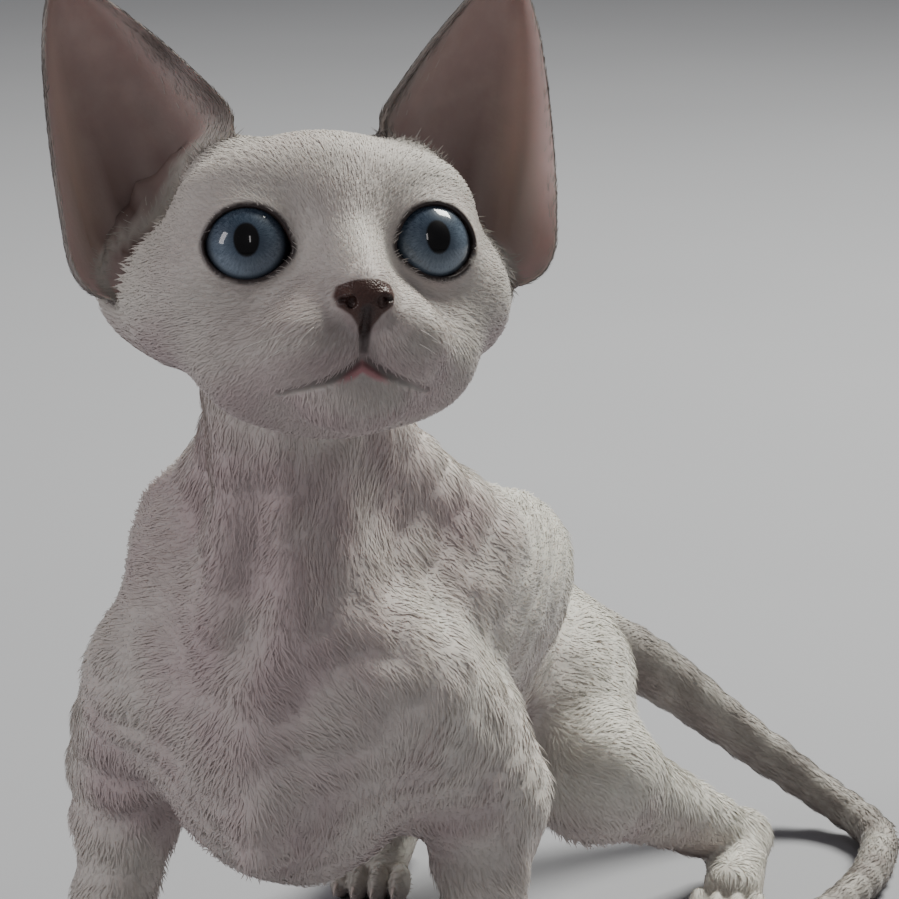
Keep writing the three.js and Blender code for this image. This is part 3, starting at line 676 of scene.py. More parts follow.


# %% [markdown]
# A vertex of the dual mesh is close to the surface, not on it. Newton's method slides it along the
# field's slope. The first grid is even and coarse. Then only the faces that need it are divided: the
# head and paws once, the lids, lips and nose twice, the nostrils and lid rims three times. After
# each division the new vertices slide onto the true surface again.

# %% Slide vertices onto the field and divide where detail is wanted
def slope(field, p, e=0.04):
    base = field(p)
    steps = [(field(p + np.eye(3)[c] * e) - base) / e for c in range(3)]
    return base, np.stack(steps, axis=1)


def slide(field, p, turns=3, most=0.6):
    for _ in range(turns):
        d, g = slope(field, p)
        step = d[:, None] * g / np.maximum((g * g).sum(1), 0.05)[:, None]
        length = np.linalg.norm(step, axis=1)[:, None]
        p = p - step * np.minimum(1, most / np.maximum(length, 1e-9))
    return p


def points_of(mesh):
    flat = np.empty(len(mesh.vertices) * 3)
    mesh.vertices.foreach_get("co", flat)
    return flat.reshape(-1, 3)


def set_points(mesh, points):
    mesh.vertices.foreach_set("co", np.asarray(points, np.float32).ravel())
    mesh.update()


def divide(mesh, wanted):
    bm = bmesh.new()
    bm.from_mesh(mesh)
    edges = [e for e in bm.edges if wanted[e.verts[0].index] and wanted[e.verts[1].index]]
    bmesh.ops.subdivide_edges(bm, edges=edges, cuts=1, use_grid_fill=True)
    bm.to_mesh(mesh)
    bm.free()


NOSE_TIP = (0, -33, -10)


def feature_distance(p):
    q = to_head(p)
    front = q[:, 1] < -4
    d = np.full(len(p), FAR)
    if front.any():
        f = q[front]
        d[front] = np.minimum(distance_to_line(f, mouth_line), np.linalg.norm(f - NOSE_TIP, axis=1) - 4.5)
        for side in SIDES.values():
            from_lid = np.abs(np.linalg.norm(eye_frame(f, side), axis=1) - EYEBALL_RADIUS - LID_THICKNESS / 2)
            rim = np.abs(lid_distance(f, side)) + np.maximum(from_lid - 2, 0)
            d[front] = np.minimum(d[front], rim)
    return d


# %% Make the skin's mesh
GRID_STEP = 1.85
REACH = ((-60, 84), (-64, 198), (-2, 186))
grid_axes = [np.arange(low, high + GRID_STEP, GRID_STEP) for low, high in REACH]
skin_points, skin_quads = dual_surface(skin_field, grid_axes)
skin_mesh = bpy.data.meshes.new("skin")
skin_mesh.from_pydata(slide(skin_field, skin_points).tolist(), [], skin_quads.tolist())
print("first skin:", len(skin_mesh.vertices), "vertices")


FINE_HEAD = 41
PAW_TOP = 12


def fine_parts(p):
    head = np.linalg.norm(p - HEAD_AT, axis=1) < FINE_HEAD
    paws = (p[:, 2] < PAW_TOP) & (trunk_field(p) < 2)
    return head | paws


DETAIL = [fine_parts, lambda p: feature_distance(p) < 2.6, lambda p: feature_distance(p) < 0.8]
for wanted in DETAIL:
    divide(skin_mesh, wanted(points_of(skin_mesh)))
    set_points(skin_mesh, slide(skin_field, points_of(skin_mesh), 2))
    print("divided:", len(skin_mesh.vertices), "vertices")

# %% [markdown]
# ## Ears
#
# A Devon's ears are huge, low set cups. Each is a wall that runs from an inner edge, beside the forehead,
# round the back to an outer edge, beside the cheek: half an ellipse at every height, deep at the bottom
# and closing to a point at the tip. The wall becomes a closed shell with round rims. It thins towards the
# tip, and inside it has the low ridges of cartilage that run up from the ear's floor. Near the bottom
# the outer edge is drawn out into the small pouch that every cat has.

# %% The two edges of an ear and the wall between them
EAR_INNER = [
    (17, 5, 6),
    (13.5, 0, 17),
    (12.6, -4, 25),
    (19, -4, 34),
    (27.5, -3, 43),
    (34, -2, 48.8),
    (38.6, -1.6, 52),
]
EAR_OUTER = [
    (25, 6, 0),
    (32, 3.5, -3),
    (37, 1, -1.5),
    (41.3, -0.5, 10),
    (42.3, -1, 26),
    (41.4, -1.4, 42),
    (38.8, -1.6, 52),
]
EAR_DEPTH = [6, 13, 16.5, 15.5, 11.5, 6, 2]
EAR_LEAN = {"left": -3, "right": 4}
EAR_HINGE = np.array([24, 0, 5])
EAR_STEADY = 0.16
EAR_TIP_FROM = 0.95
POUCH_AT = 0.42
POUCH_WIDTH = 0.08
POUCH_OUT = 1.6


def unit(vectors):
    return vectors / np.maximum(np.linalg.norm(vectors, axis=-1, keepdims=True), 1e-9)


def ear_edges(side, v):
    inner, outer = (spline([mirrored(p, side) for p in edge], v) for edge in (EAR_INNER, EAR_OUTER))
    drawn_out = POUCH_OUT * bell(v - POUCH_AT, POUCH_WIDTH)[..., None] * unit(outer - inner)
    return inner, outer + drawn_out


def ear_middle(side, v):
    inner, outer = ear_edges(side, np.clip(v, 0, 1))
    return (inner + outer) / 2


def ear_wall(name, v, u):
    side = SIDES[name]
    v, u = np.broadcast_arrays(np.asarray(v, float), np.asarray(u, float))
    inner, outer = ear_edges(side, v)
    half_chord = (outer - inner) / 2
    way_up = ear_middle(side, v + EAR_STEADY) - ear_middle(side, v - EAR_STEADY)
    back = unit(np.cross(half_chord, way_up))
    back = back * np.where(back[..., 1:2] < 0, -1, 1)
    depth = spline([(n, d, 0) for n, d in enumerate(EAR_DEPTH)], v)[..., 1:2]
    angle = math.pi * u[..., None]
    wall = (inner + outer) / 2 - half_chord * np.cos(angle) + back * depth * np.sin(angle)
    hinge = mirrored(EAR_HINGE, side)
    return (wall - hinge) @ turn(roll=side * EAR_LEAN[name]).T + hinge


def ear_outward(name, v, u):
    e = 0.012
    at = np.minimum(v, EAR_TIP_FROM)
    up = ear_wall(name, at + e, u) - ear_wall(name, np.maximum(at - e, 0), u)
    across = ear_wall(name, at, np.minimum(u + e, 1)) - ear_wall(name, at, np.maximum(u - e, 0))
    out = unit(np.cross(across, up))
    return -out if SIDES[name] > 0 else out


# %% Each ear as a closed shell, and the pocket that it sits in
EAR_THICKNESS = 1.35
EAR_FOOT = 0.02
EAR_ROWS = 46
EAR_COLUMNS = 24
RIM_ROUND = 0.05
POCKET_FOOT = 0.05
POCKET_LIP = 1.0
RIDGES = ((0.28, 0.035, 1.3), (0.43, 0.04, 1.6), (0.60, 0.04, 1.8), (0.79, 0.05, 3.2))


def ear_half_thickness(v, u):
    from_middle = np.abs(2 * u - 1)
    rim = np.clip((from_middle - (1 - 2 * RIM_ROUND)) / (2 * RIM_ROUND), 0, 1)
    thin = (1 - 0.45 * v**4) * (0.6 + 0.4 * np.sin(math.pi * u))
    return EAR_THICKNESS / 2 * thin * np.sqrt(np.maximum(1 - rim**2, 0))


def ear_ridges(v, u):
    rise = smoothstep(0.04, 0.14, v) * (1 - smoothstep(0.32, 0.74, v))
    lean = 0.10 * (v - 0.2)
    return rise * sum(height * bell(u - at - lean, width) for at, width, height in RIDGES)


def face_outwards(mesh):
    bm = bmesh.new()
    bm.from_mesh(mesh)
    bmesh.ops.recalc_face_normals(bm, faces=bm.faces)
    bm.to_mesh(mesh)
    bm.free()
    return mesh


def ring_mesh(name, rings):
    rows, count = rings.shape[:2]
    index = np.arange(rows * count).reshape(rows, count)
    right = np.roll(index, -1, axis=1)
    sides = np.stack([index[:-1], right[:-1], right[1:], index[1:]], axis=-1).reshape(-1, 4)
    mesh = bpy.data.meshes.new(name)
    faces = sides.tolist() + [index[0][::-1].tolist(), index[-1].tolist()]
    mesh.from_pydata(rings.reshape(-1, 3).tolist(), [], faces)
    return face_outwards(mesh)


def ear_shell(name):
    v = 1 - (1 - EAR_FOOT) * (1 - np.linspace(0, 1, EAR_ROWS + 1)) ** 1.25
    u = 0.5 - 0.5 * np.cos(math.pi * np.linspace(0, 1, EAR_COLUMNS + 1))
    v, u = np.meshgrid(v, u, indexing="ij")
    wall, out, half = ear_wall(name, v, u), ear_outward(name, v, u), ear_half_thickness(v, u)[..., None]
    outside = wall + out * half
    inside = wall - out * (half + ear_ridges(v, u)[..., None] * np.sin(math.pi * u)[..., None])
    rings = np.concatenate([outside, inside[:, -2:0:-1]], axis=1)
    rows = np.concatenate([v, v[:, -2:0:-1]], axis=1)
    columns = np.concatenate([u, u[:, -2:0:-1]], axis=1)
    within = np.concatenate([np.zeros_like(v), np.ones_like(v[:, -2:0:-1])], axis=1)
    return ring_mesh("ear_" + name, from_head(rings)), rows.ravel(), columns.ravel(), within.ravel()


def ear_pocket(name):
    v = np.linspace(POCKET_FOOT, 1, 30)
    u = np.linspace(0, 1, 15)
    v, u = np.meshgrid(v, u, indexing="ij")
    wall = ear_wall(name, v, u)
    chord = (wall[:, -1:] - wall[:, :1]) / 2
    straight = (wall[:, -1:] + wall[:, :1]) / 2 - chord * np.cos(math.pi * u)[..., None]
    mouth = straight - (0, POCKET_LIP, 0)
    return ring_mesh("pocket_" + name, from_head(np.concatenate([wall, mouth[:, ::-1]], axis=1)))


ear_shells = {name: ear_shell(name) for name in SIDES}
print("faces in an ear:", len(ear_shells["left"][0].polygons))

# %% [markdown]
# The head is hollowed where the ears' pockets are, and the shells are joined to it. Both are done with
# Blender's Boolean modifier, whose Manifold solver is quick and exact on closed meshes. A join leaves a
# hard crease, which no animal has. So the vertices within a few millimetres of the crease are smoothed:
# each moves towards the middle of its neighbours, less with distance from the crease.

# %% Join the ears to the skin
def new_object(name, data):
    made = bpy.data.objects.new(name, data)
    bpy.context.scene.collection.objects.link(made)
    return made


def plain_mesh(made):
    evaluated = made.evaluated_get(bpy.context.evaluated_depsgraph_get())
    return bpy.data.meshes.new_from_object(evaluated)


def combine(body, tool_mesh, operation):
    tool = new_object("tool", tool_mesh)
    modifier = body.modifiers.new(operation, "BOOLEAN")
    modifier.operation = operation
    modifier.solver = "MANIFOLD"
    modifier.object = tool
    joined = plain_mesh(body)
    body.modifiers.clear()
    body.data = joined
    bpy.data.objects.remove(tool)


skin = new_object("skin", skin_mesh)
for name in SIDES:
    combine(skin, ear_pocket(name), "DIFFERENCE")
for name in SIDES:
    combine(skin, ear_shells[name][0], "UNION")
print("skin with ears:", len(skin.data.vertices), "vertices")

# %% Which vertices are on an ear, and where on it
EAR_MIDDLE = 29
EAR_NEAR = 34
EAR_BOTTOM = -8
EAR_FRONT = -9
EAR_BACK = 26
EAR_SEARCH = 6


def search_tree(mesh):
    faces = [tuple(face.vertices) for face in mesh.polygons]
    return BVHTree.FromPolygons(points_of(mesh).tolist(), faces)


ear_tree = {name: search_tree(shell[0]) for name, shell in ear_shells.items()}


def ear_places(p):
    apart = np.full(len(p), FAR)
    place = np.zeros((len(p), 3))
    which = np.zeros(len(p), int)
    q = to_head(p)
    for name, side in SIDES.items():
        _, rows, columns, within = ear_shells[name]
        shell_points = points_of(ear_shells[name][0])
        close = (np.abs(q[:, 0] - side * EAR_MIDDLE) < EAR_NEAR) & (q[:, 2] > EAR_BOTTOM)
        close &= (q[:, 1] > EAR_FRONT) & (q[:, 1] < EAR_BACK)
        polygons = ear_shells[name][0].polygons
        for i in np.flatnonzero(close):
            found, _, face, distance = ear_tree[name].find_nearest(p[i], EAR_SEARCH)
            if found is None or distance >= apart[i]:
                continue
            corners = np.array(polygons[face].vertices)
            weight = 1 / (np.linalg.norm(shell_points[corners] - p[i], axis=1) + 1e-3)
            weight /= weight.sum()
            apart[i] = distance
            place[i] = weight @ rows[corners], weight @ columns[corners], weight @ within[corners]
            which[i] = side
    return apart, place, which


CREASE_REACH = 2.6
SMOOTH_TURNS = 14
skin_p = points_of(skin.data)
ear_apart, _, _ = ear_places(skin_p)
near_ear = ear_apart < CREASE_REACH
from_flesh = np.full(len(skin_p), FAR)
from_flesh[near_ear] = np.abs(skin_field(skin_p[near_ear]))
softened = 1 - smoothstep(0, CREASE_REACH, np.maximum(from_flesh, ear_apart))
edge_ends = np.empty(len(skin.data.edges) * 2, int)
skin.data.edges.foreach_get("vertices", edge_ends)
edge_ends = edge_ends.reshape(-1, 2)
neighbours = np.bincount(edge_ends.ravel(), minlength=len(skin_p))
for _ in range(SMOOTH_TURNS):
    total = np.zeros_like(skin_p)
    np.add.at(total, edge_ends[:, 0], skin_p[edge_ends[:, 1]])
    np.add.at(total, edge_ends[:, 1], skin_p[edge_ends[:, 0]])
    skin_p += 0.5 * softened[:, None] * (total / neighbours[:, None] - skin_p)
set_points(skin.data, skin_p)
print("vertices softened at the ears' roots:", int((softened > 0.05).sum()))

# %% [markdown]
# ## Where each kind of coat grows
#
# Skin and coat share one set of facts, kept as attributes of the skin's vertices: which way the fur lies,
# how long and how dense it is, how strongly the points darken it, and where the skin is pink, bare,
# leathery or dark-rimmed. Tufts inherit these facts from the spot where they are planted, so skin and
# coat always carry the same markings. First, each vertex is shared out among the parts of the body.

# %% Shares of the body's parts
PART_BLEND = 3.5
PARTS = ("head", "neck", "torso", "forelegs", "hindlegs", "tail")
part_fields = dict(zip(PARTS[1:], (field_of(forms) for forms in (neck, torso, forelegs, hindlegs, tail))))


def part_shares(p):
    distances = {"head": head_field(to_head(p)) - 1}
    distances.update({name: field(p) for name, field in part_fields.items()})
    stack = np.stack([distances[name] for name in PARTS])
    shares = np.exp(-(stack - stack.min(axis=0)) / PART_BLEND)
    return dict(zip(PARTS, shares / shares.sum(axis=0)))


skin_p = points_of(skin.data)
skin_q = to_head(skin_p)
flat = np.empty(len(skin_p) * 3)
skin.data.vertex_normals.foreach_get("vector", flat)
skin_n = flat.reshape(-1, 3)
shares = part_shares(skin_p)
ear_apart, ear_place, ear_side = ear_places(skin_p)
on_ear = 1 - smoothstep(0.25, 1.6, ear_apart)
ear_v, ear_u, ear_within = ear_place.T
furry_edge = smoothstep(0.24, 0.08, ear_u) * smoothstep(0.75, 0.5, ear_v)
off_flesh = np.full(len(skin_p), FAR)
off_flesh[ear_apart < 3] = np.abs(skin_field(skin_p[ear_apart < 3]))
ear_inside = on_ear * smoothstep(0.35, 0.65, ear_within)
inner_ear = ear_inside * (1 - furry_edge) * smoothstep(0.5, 1.8, off_flesh)
print("share of vertices on the ears:", round(float((on_ear > 0.5).mean()), 3))

# %% [markdown]
# The lie of the coat is a vector at each vertex. On the face it runs away from the nose, on the trunk
# backwards and a little down, on the legs down, along the tail, and up the ears. Soft random turns give the
# whorls of the breed. The waves, called marcel waves because they look pressed in with tongs, are
# ripples across the lie: the skin rises and falls with them and the tufts tilt with them.

# %% Soft noise and the lie of the coat
def soft_noise(p, size, seed, waves=6):
    chance = np.random.default_rng(seed)
    total = np.zeros(len(p))
    for _ in range(waves):
        way = unit(chance.normal(size=3)) * (2 * math.pi / size) * chance.uniform(0.7, 1.3)
        total += np.sin(p @ way + chance.uniform(0, 2 * math.pi))
    return total / math.sqrt(waves / 2) / 1.6


NOSE_MIDDLE = np.array([0, -34, -7])
tail_ways = np.gradient(tail_line, axis=0)
nearest_tail = np.argmin(np.linalg.norm(skin_p[:, None] - tail_line[None], axis=2), axis=1)
breast = smoothstep(-0.2, -0.9, skin_n[:, 1]) * smoothstep(40, 75, skin_p[:, 2])
fan = 1.8 * smoothstep(52, 70, skin_p[:, 2]) - 0.7
legs_out = np.sign(skin_p[:, 0] - CHEST_X)
fan_out = fan * breast * np.tanh((skin_p[:, 0] - CHEST_X) / 9)
ways = {
    "head": unit(skin_q - NOSE_MIDDLE) @ HEAD_TURN.T,
    "neck": np.tile([0, 0.35, -1.0], (len(skin_p), 1)),
    "torso": np.stack([fan_out, 0.95 - 0.6 * breast, -0.42 - 0.3 * breast], axis=1),
    "forelegs": np.tile([0, 0.3, -1.0], (len(skin_p), 1)),
    "hindlegs": np.stack([0.15 * legs_out, np.full(len(skin_p), 0.55), np.full(len(skin_p), -0.8)], axis=1),
    "tail": unit(tail_ways[nearest_tail]),
}
lie = sum(shares[name][:, None] * unit(ways[name]) for name in PARTS)
toes_way = smoothstep(13, 7, skin_p[:, 2]) * (1 - shares["tail"])
lie = lie + toes_way[:, None] * (np.array([0, -1.6, -0.2]) - lie)
ear_up = np.zeros_like(skin_p)
for name, side in SIDES.items():
    mine = (ear_side == side) & (on_ear > 0)
    v, u = np.clip(ear_v[mine], 0.03, 0.94), ear_u[mine]
    up = unit(ear_wall(name, v + 0.03, u) - ear_wall(name, v - 0.03, u))
    after, before = np.clip(u + 0.03, 0, 1), np.clip(u - 0.03, 0, 1)
    rimward = unit(ear_wall(name, v, after) - ear_wall(name, v, before))
    ear_up[mine] = (up + 0.45 * np.sign(u - 0.5)[:, None] * rimward) @ HEAD_TURN.T
lie = lie + on_ear[:, None] * (ear_up - lie)


def along_skin(vectors, normals):
    return unit(vectors - (vectors * normals).sum(1)[:, None] * normals)


body_share = 1 - shares["head"]
whorl = np.radians(10 + 26 * body_share * (1 - shares["tail"]) * (1 - on_ear)) * soft_noise(skin_p, 34, 4)
lie = along_skin(lie, skin_n)
lie = np.cos(whorl)[:, None] * lie + np.sin(whorl)[:, None] * np.cross(skin_n, lie)

# %% The waves, and how they move the skin
WAVE_LENGTH = 8.5
WAVE_HEIGHT = 0.32
WAVES_RUN = np.array([0.1, 0.62, -0.78])
run = (skin_p @ WAVES_RUN) + 3.2 * soft_noise(skin_p, 30, 9) + 1.2 * soft_noise(skin_p, 13, 10)
wave = np.sin(2 * math.pi * run / WAVE_LENGTH)
wavy = (1 + 0.9 * shares["forelegs"]) * body_share * (1 - on_ear) * (1 - 0.75 * shares["tail"])
wavy = wavy * smoothstep(6, 22, skin_p[:, 2])
tufty = soft_noise(skin_p, 9, 21) * 0.12 + soft_noise(skin_p, 5, 22) * 0.06
cheek = shares["head"] * smoothstep(-16, 2, skin_q[:, 1]) * (1 - on_ear)
lift = WAVE_HEIGHT * wavy * wave + tufty * (wavy + 0.5 * cheek)
skin_p = skin_p + skin_n * lift[:, None]
skin_p[:, 2] = np.maximum(skin_p[:, 2], FLOOR_CLEAR)
set_points(skin.data, skin_p)
print("the waves lift the skin by up to", round(float(np.abs(lift).max()), 2), "mm")

# %% [markdown]
# The markings are soft masks. The points are the mask, ears, feet and tail, where a colourpoint kitten
# is darker: strong on the ears' rims and the tail, faint round the nose and on the whisker pads. The same
# mask also carries painted shade: round the eyes, on the kitten's right cheek, away from the main light,
# and in part on the muzzle. Pink is where the coat is thin over the skin: the breast, the throat, the
# belly and the insides of the legs.

# %% Markings
NOSE_HEIGHTS = [-15.6, -13.6, -12.0, -10.6, -8.8, -7.2, -6.4]
NOSE_HALF_WIDTHS = [0.4, 1.3, 2.6, 4.5, 5.1, 4.5, 1.5]
MUZZLE_AT = (0, -31, -12)
BROW_AT = (13.5, -15, 12.5)
EAR_BASE_AT = (15.5, -1, 21)
RIGHT_CHEEK_SHADE_AT = (-17, -17, -14)
LID_REACH = 10.2


def nose_leather(q):
    half_width = np.interp(q[:, 2], NOSE_HEIGHTS, NOSE_HALF_WIDTHS)
    edge = half_width - np.abs(q[:, 0])
    inside_height = smoothstep(-15.8, -15.0, q[:, 2]) * smoothstep(-6.2, -6.8, q[:, 2])
    return smoothstep(-0.35, 0.35, edge) * inside_height * smoothstep(-25, -28, q[:, 1])


def from_lid_edge(q, side):
    beyond = np.linalg.norm(eye_frame(q, side), axis=1) - LID_REACH
    return np.abs(lid_distance(q, side)) + 0.5 * np.maximum(beyond, 0)


def apart_from(point):
    return np.linalg.norm(skin_q - point, axis=1)


def patch_at(centre, half):
    return bell(np.linalg.norm((skin_q - centre) / half, axis=1), 1.0)


face_near = (np.linalg.norm(skin_p - HEAD_AT, axis=1) < 46) & (skin_q[:, 1] < -2)
leather, rim, line, lip = (np.zeros(len(skin_p)) for _ in range(4))
q = skin_q[face_near]
leather[face_near] = nose_leather(q)
lid_edge = np.minimum(*(from_lid_edge(q, side) for side in SIDES.values()))
rim[face_near] = 1 - smoothstep(0.5, 1.35, lid_edge)
philtrum = distance_to_line(q, philtrum_line)
mouth = distance_to_line(q, mouth_line)
mouth_dark = (1 - smoothstep(0.4, 1.15, mouth)) * (1 - 0.55 * smoothstep(2, 11, np.abs(q[:, 0])))
philtrum_width = 1.0 + 0.14 * np.clip(q[:, 2] + 18, 0, 6)
line[face_near] = np.maximum(mouth_dark, 1 - smoothstep(0.35, philtrum_width, philtrum))
below = q[:, 2] - mouth_height(q[:, 0])
lip[face_near] = bell(below + 0.9, 1.2) * bell(q[:, 0], 4.2) * smoothstep(-14, -20, q[:, 1])

# the muzzle's darker, pinker colour: partly the points' real mask, partly painted shade
muzzle = patch_at(MUZZLE_AT, (11, 9, 8))
brow_spot = sum(bell(apart_from(mirrored(BROW_AT, side)), 5) for side in SIDES.values())
socket_shade = sum(smoothstep(14.5, 9.5, apart_from(mirrored(EYE_AT, side))) for side in SIDES.values())
ear_base = sum(patch_at(mirrored(EAR_BASE_AT, side), (6, 7, 8.5)) for side in SIDES.values())
front_rim = smoothstep(0.22, 0.03, ear_u) * smoothstep(0.12, 0.38, ear_v)
ear_rim = on_ear * np.maximum(front_rim, 0.25 * smoothstep(0.86, 0.99, ear_u))
ear_out = on_ear - ear_inside
paw_point = smoothstep(15, 4, skin_p[:, 2]) * (1 - shares["tail"])
# painted shade on the kitten's right cheek, the side away from the main light
right_cheek_shade = patch_at(RIGHT_CHEEK_SHADE_AT, (7, 8, 6))
point = 0.66 * shares["tail"] + 0.72 * ear_out + 0.75 * ear_rim + 0.5 * ear_base * (1 - on_ear)
point += 0.36 * muzzle + 0.14 * socket_shade + 0.30 * paw_point + 0.10 * right_cheek_shade
point = np.clip(point * (1 + 0.25 * soft_noise(skin_p, 11, 31)), 0, 1)

front_low = smoothstep(0.15, -0.75, skin_n[:, 1]) * smoothstep(135, 118, skin_p[:, 2])
underneath = smoothstep(0.2, -0.7, skin_n[:, 2])
pink = 0.75 * np.maximum(front_low * (shares["torso"] + shares["neck"]), underneath) + 0.45 * shares["neck"]
pink += 0.4 * muzzle + 0.35 * shares["head"] * smoothstep(8, -20, skin_q[:, 1]) + 0.3 * shares["forelegs"]
pink = np.clip(pink * (1 + 0.2 * soft_noise(skin_p, 16, 41)), 0, 1)
print("mean point and pink:", round(float(point.mean()), 3), round(float(pink.mean()), 3))

# %% [markdown]
# The coat is shortest on the face, the ears and the feet, and longest along the back and breast. A bare
# place, such as the nose leather, the lids' rims, the lips and the floor of the ears, has a density of
# nothing. Regions divide the coat into pieces of a size that a computer handles with ease.

# %% Length, density and regions
LENGTHS = {"head": 2.3, "neck": 2.9, "torso": 3.2, "forelegs": 2.7, "hindlegs": 3.2, "tail": 2.6}
length = sum(shares[name] * LENGTHS[name] for name in PARTS)
muzzle_short = patch_at((0, -30, -10), (13, 11, 11))
length -= shares["head"] * (1.0 * muzzle_short + 0.9 * np.clip(socket_shade, 0, 1))
length += 0.9 * cheek + 0.8 * brow_spot * shares["head"]
length *= 1 - 0.45 * paw_point
length = length * (1 - on_ear) + on_ear * (1.7 + 1.5 * ear_rim * smoothstep(0.45, 0.2, ear_v))
length = np.clip(length, 0.7, 6)
bare_rim, bare_line = smoothstep(0.4, 0.8, rim), smoothstep(0.1, 0.4, line)
bare_lip = smoothstep(0.3, 0.7, lip)
bare = np.maximum.reduce([leather, bare_rim, bare_line, bare_lip])
ear_edge = np.maximum(smoothstep(0.12, 0.02, ear_u), smoothstep(0.94, 0.99, ear_u))
bare = np.maximum(bare, inner_ear * (1 - 0.6 * ear_edge))
under_paw = smoothstep(1.2, 0.4, skin_p[:, 2])
density = (1 - bare) * (1 - under_paw)

REGIONS = ("face", "crown", "ears", "neck", "breast", "back", "loin", "forelegs", "hindlegs", "tail")
FACE, CROWN, EARS, NECK, BREAST, BACK, LOIN, FORELEGS, HINDLEGS, TAIL = range(len(REGIONS))
FACE_ENDS = -9
BREAST_ENDS = 12
LOIN_BEGINS = 62
owner = np.argmax(np.stack([shares[name] for name in PARTS]), axis=0)
region = np.choose(owner, [FACE, NECK, BACK, FORELEGS, HINDLEGS, TAIL])
region[(region == FACE) & (skin_q[:, 1] > FACE_ENDS)] = CROWN
region[(region == BACK) & (skin_p[:, 1] < BREAST_ENDS)] = BREAST
region[(region == BACK) & (skin_p[:, 1] > LOIN_BEGINS)] = LOIN
region[on_ear > 0.5] = EARS
in_each = np.bincount(region, minlength=len(REGIONS)).tolist()
print("vertices in each region:", dict(zip(REGIONS, in_each)))

# %% Keep the facts on the skin, and move it to its place
# painted shade inside the nostrils, laid into the dark line of the mouth
nostril_shade = np.zeros(len(skin_p))
for hole in (*nostrils, *nostril_slits):
    nostril_shade = np.maximum(nostril_shade, patch_at(hole, (1.0, 2.2, 0.9)))
line = np.maximum(line, leather * nostril_shade)
skin_facts = {
    "point": point,
    "pink": pink,
    "leather": leather,
    "rim": rim,
    "line": line,
    "lip": lip,
    "inner_ear": inner_ear,
    "ridge": inner_ear * np.clip(ear_ridges(ear_v, ear_u) / 1.6, 0, 1),
    "deep_ear": inner_ear * bell(ear_u - 0.56, 0.17) * smoothstep(0.85, 0.2, ear_v),
    "fold": inner_ear * smoothstep(0.70, 0.82, ear_u + 0.08 * ear_v) * smoothstep(0.95, 0.6, ear_v),
    "glow": inner_ear * bell(ear_u - 0.78, 0.12) * bell(ear_v - 0.55, 0.26),
    "wave": wavy * wave,
    "fur_length": length * MM,
    "fur_density": density,
}


def shade_smooth(mesh):
    for polygon in mesh.polygons:
        polygon.use_smooth = True


def store(mesh, name, values, kind="FLOAT", domain="POINT"):
    attribute = mesh.attributes.new(name, kind, domain)
    field = "vector" if kind == "FLOAT_VECTOR" else "value"
    attribute.data.foreach_set(field, np.asarray(values).ravel())


set_points(skin.data, in_metres(skin_p))
for name, values in skin_facts.items():
    store(skin.data, name, values.astype(np.float32))
store(skin.data, "lie", lie.astype(np.float32), "FLOAT_VECTOR")
face_region = np.array([region[f.vertices[0]] for f in skin.data.polygons])
store(skin.data, "region", face_region, "INT", "FACE")
shade_smooth(skin.data)

# %% [markdown]
# The skin is unwrapped once, into islands cut where its own shape turns. Every tuft will take a small patch
# of this map at its root, at the spot where it grows.

# %% Unwrap the skin
MAP = "OFBake"
skin.data.uv_layers.new(name=MAP)
bpy.context.view_layer.objects.active = skin
skin.select_set(True)
bpy.ops.object.mode_set(mode="EDIT")
bpy.ops.mesh.select_all(action="SELECT")
bpy.ops.uv.smart_project(angle_limit=math.radians(66), island_margin=0.003)
bpy.ops.object.mode_set(mode="OBJECT")
print("unwrapped", len(skin.data.polygons), "faces")

# %% [markdown]
# ## Colour by arithmetic
#
# A material is a small calculation at each point of a surface. The class below wraps a socket of a node
# tree, so that the calculation can be written as a Python sum: each sum adds its Math node, and any
# other node comes from one method. The same class builds the Geometry Nodes trees further down.

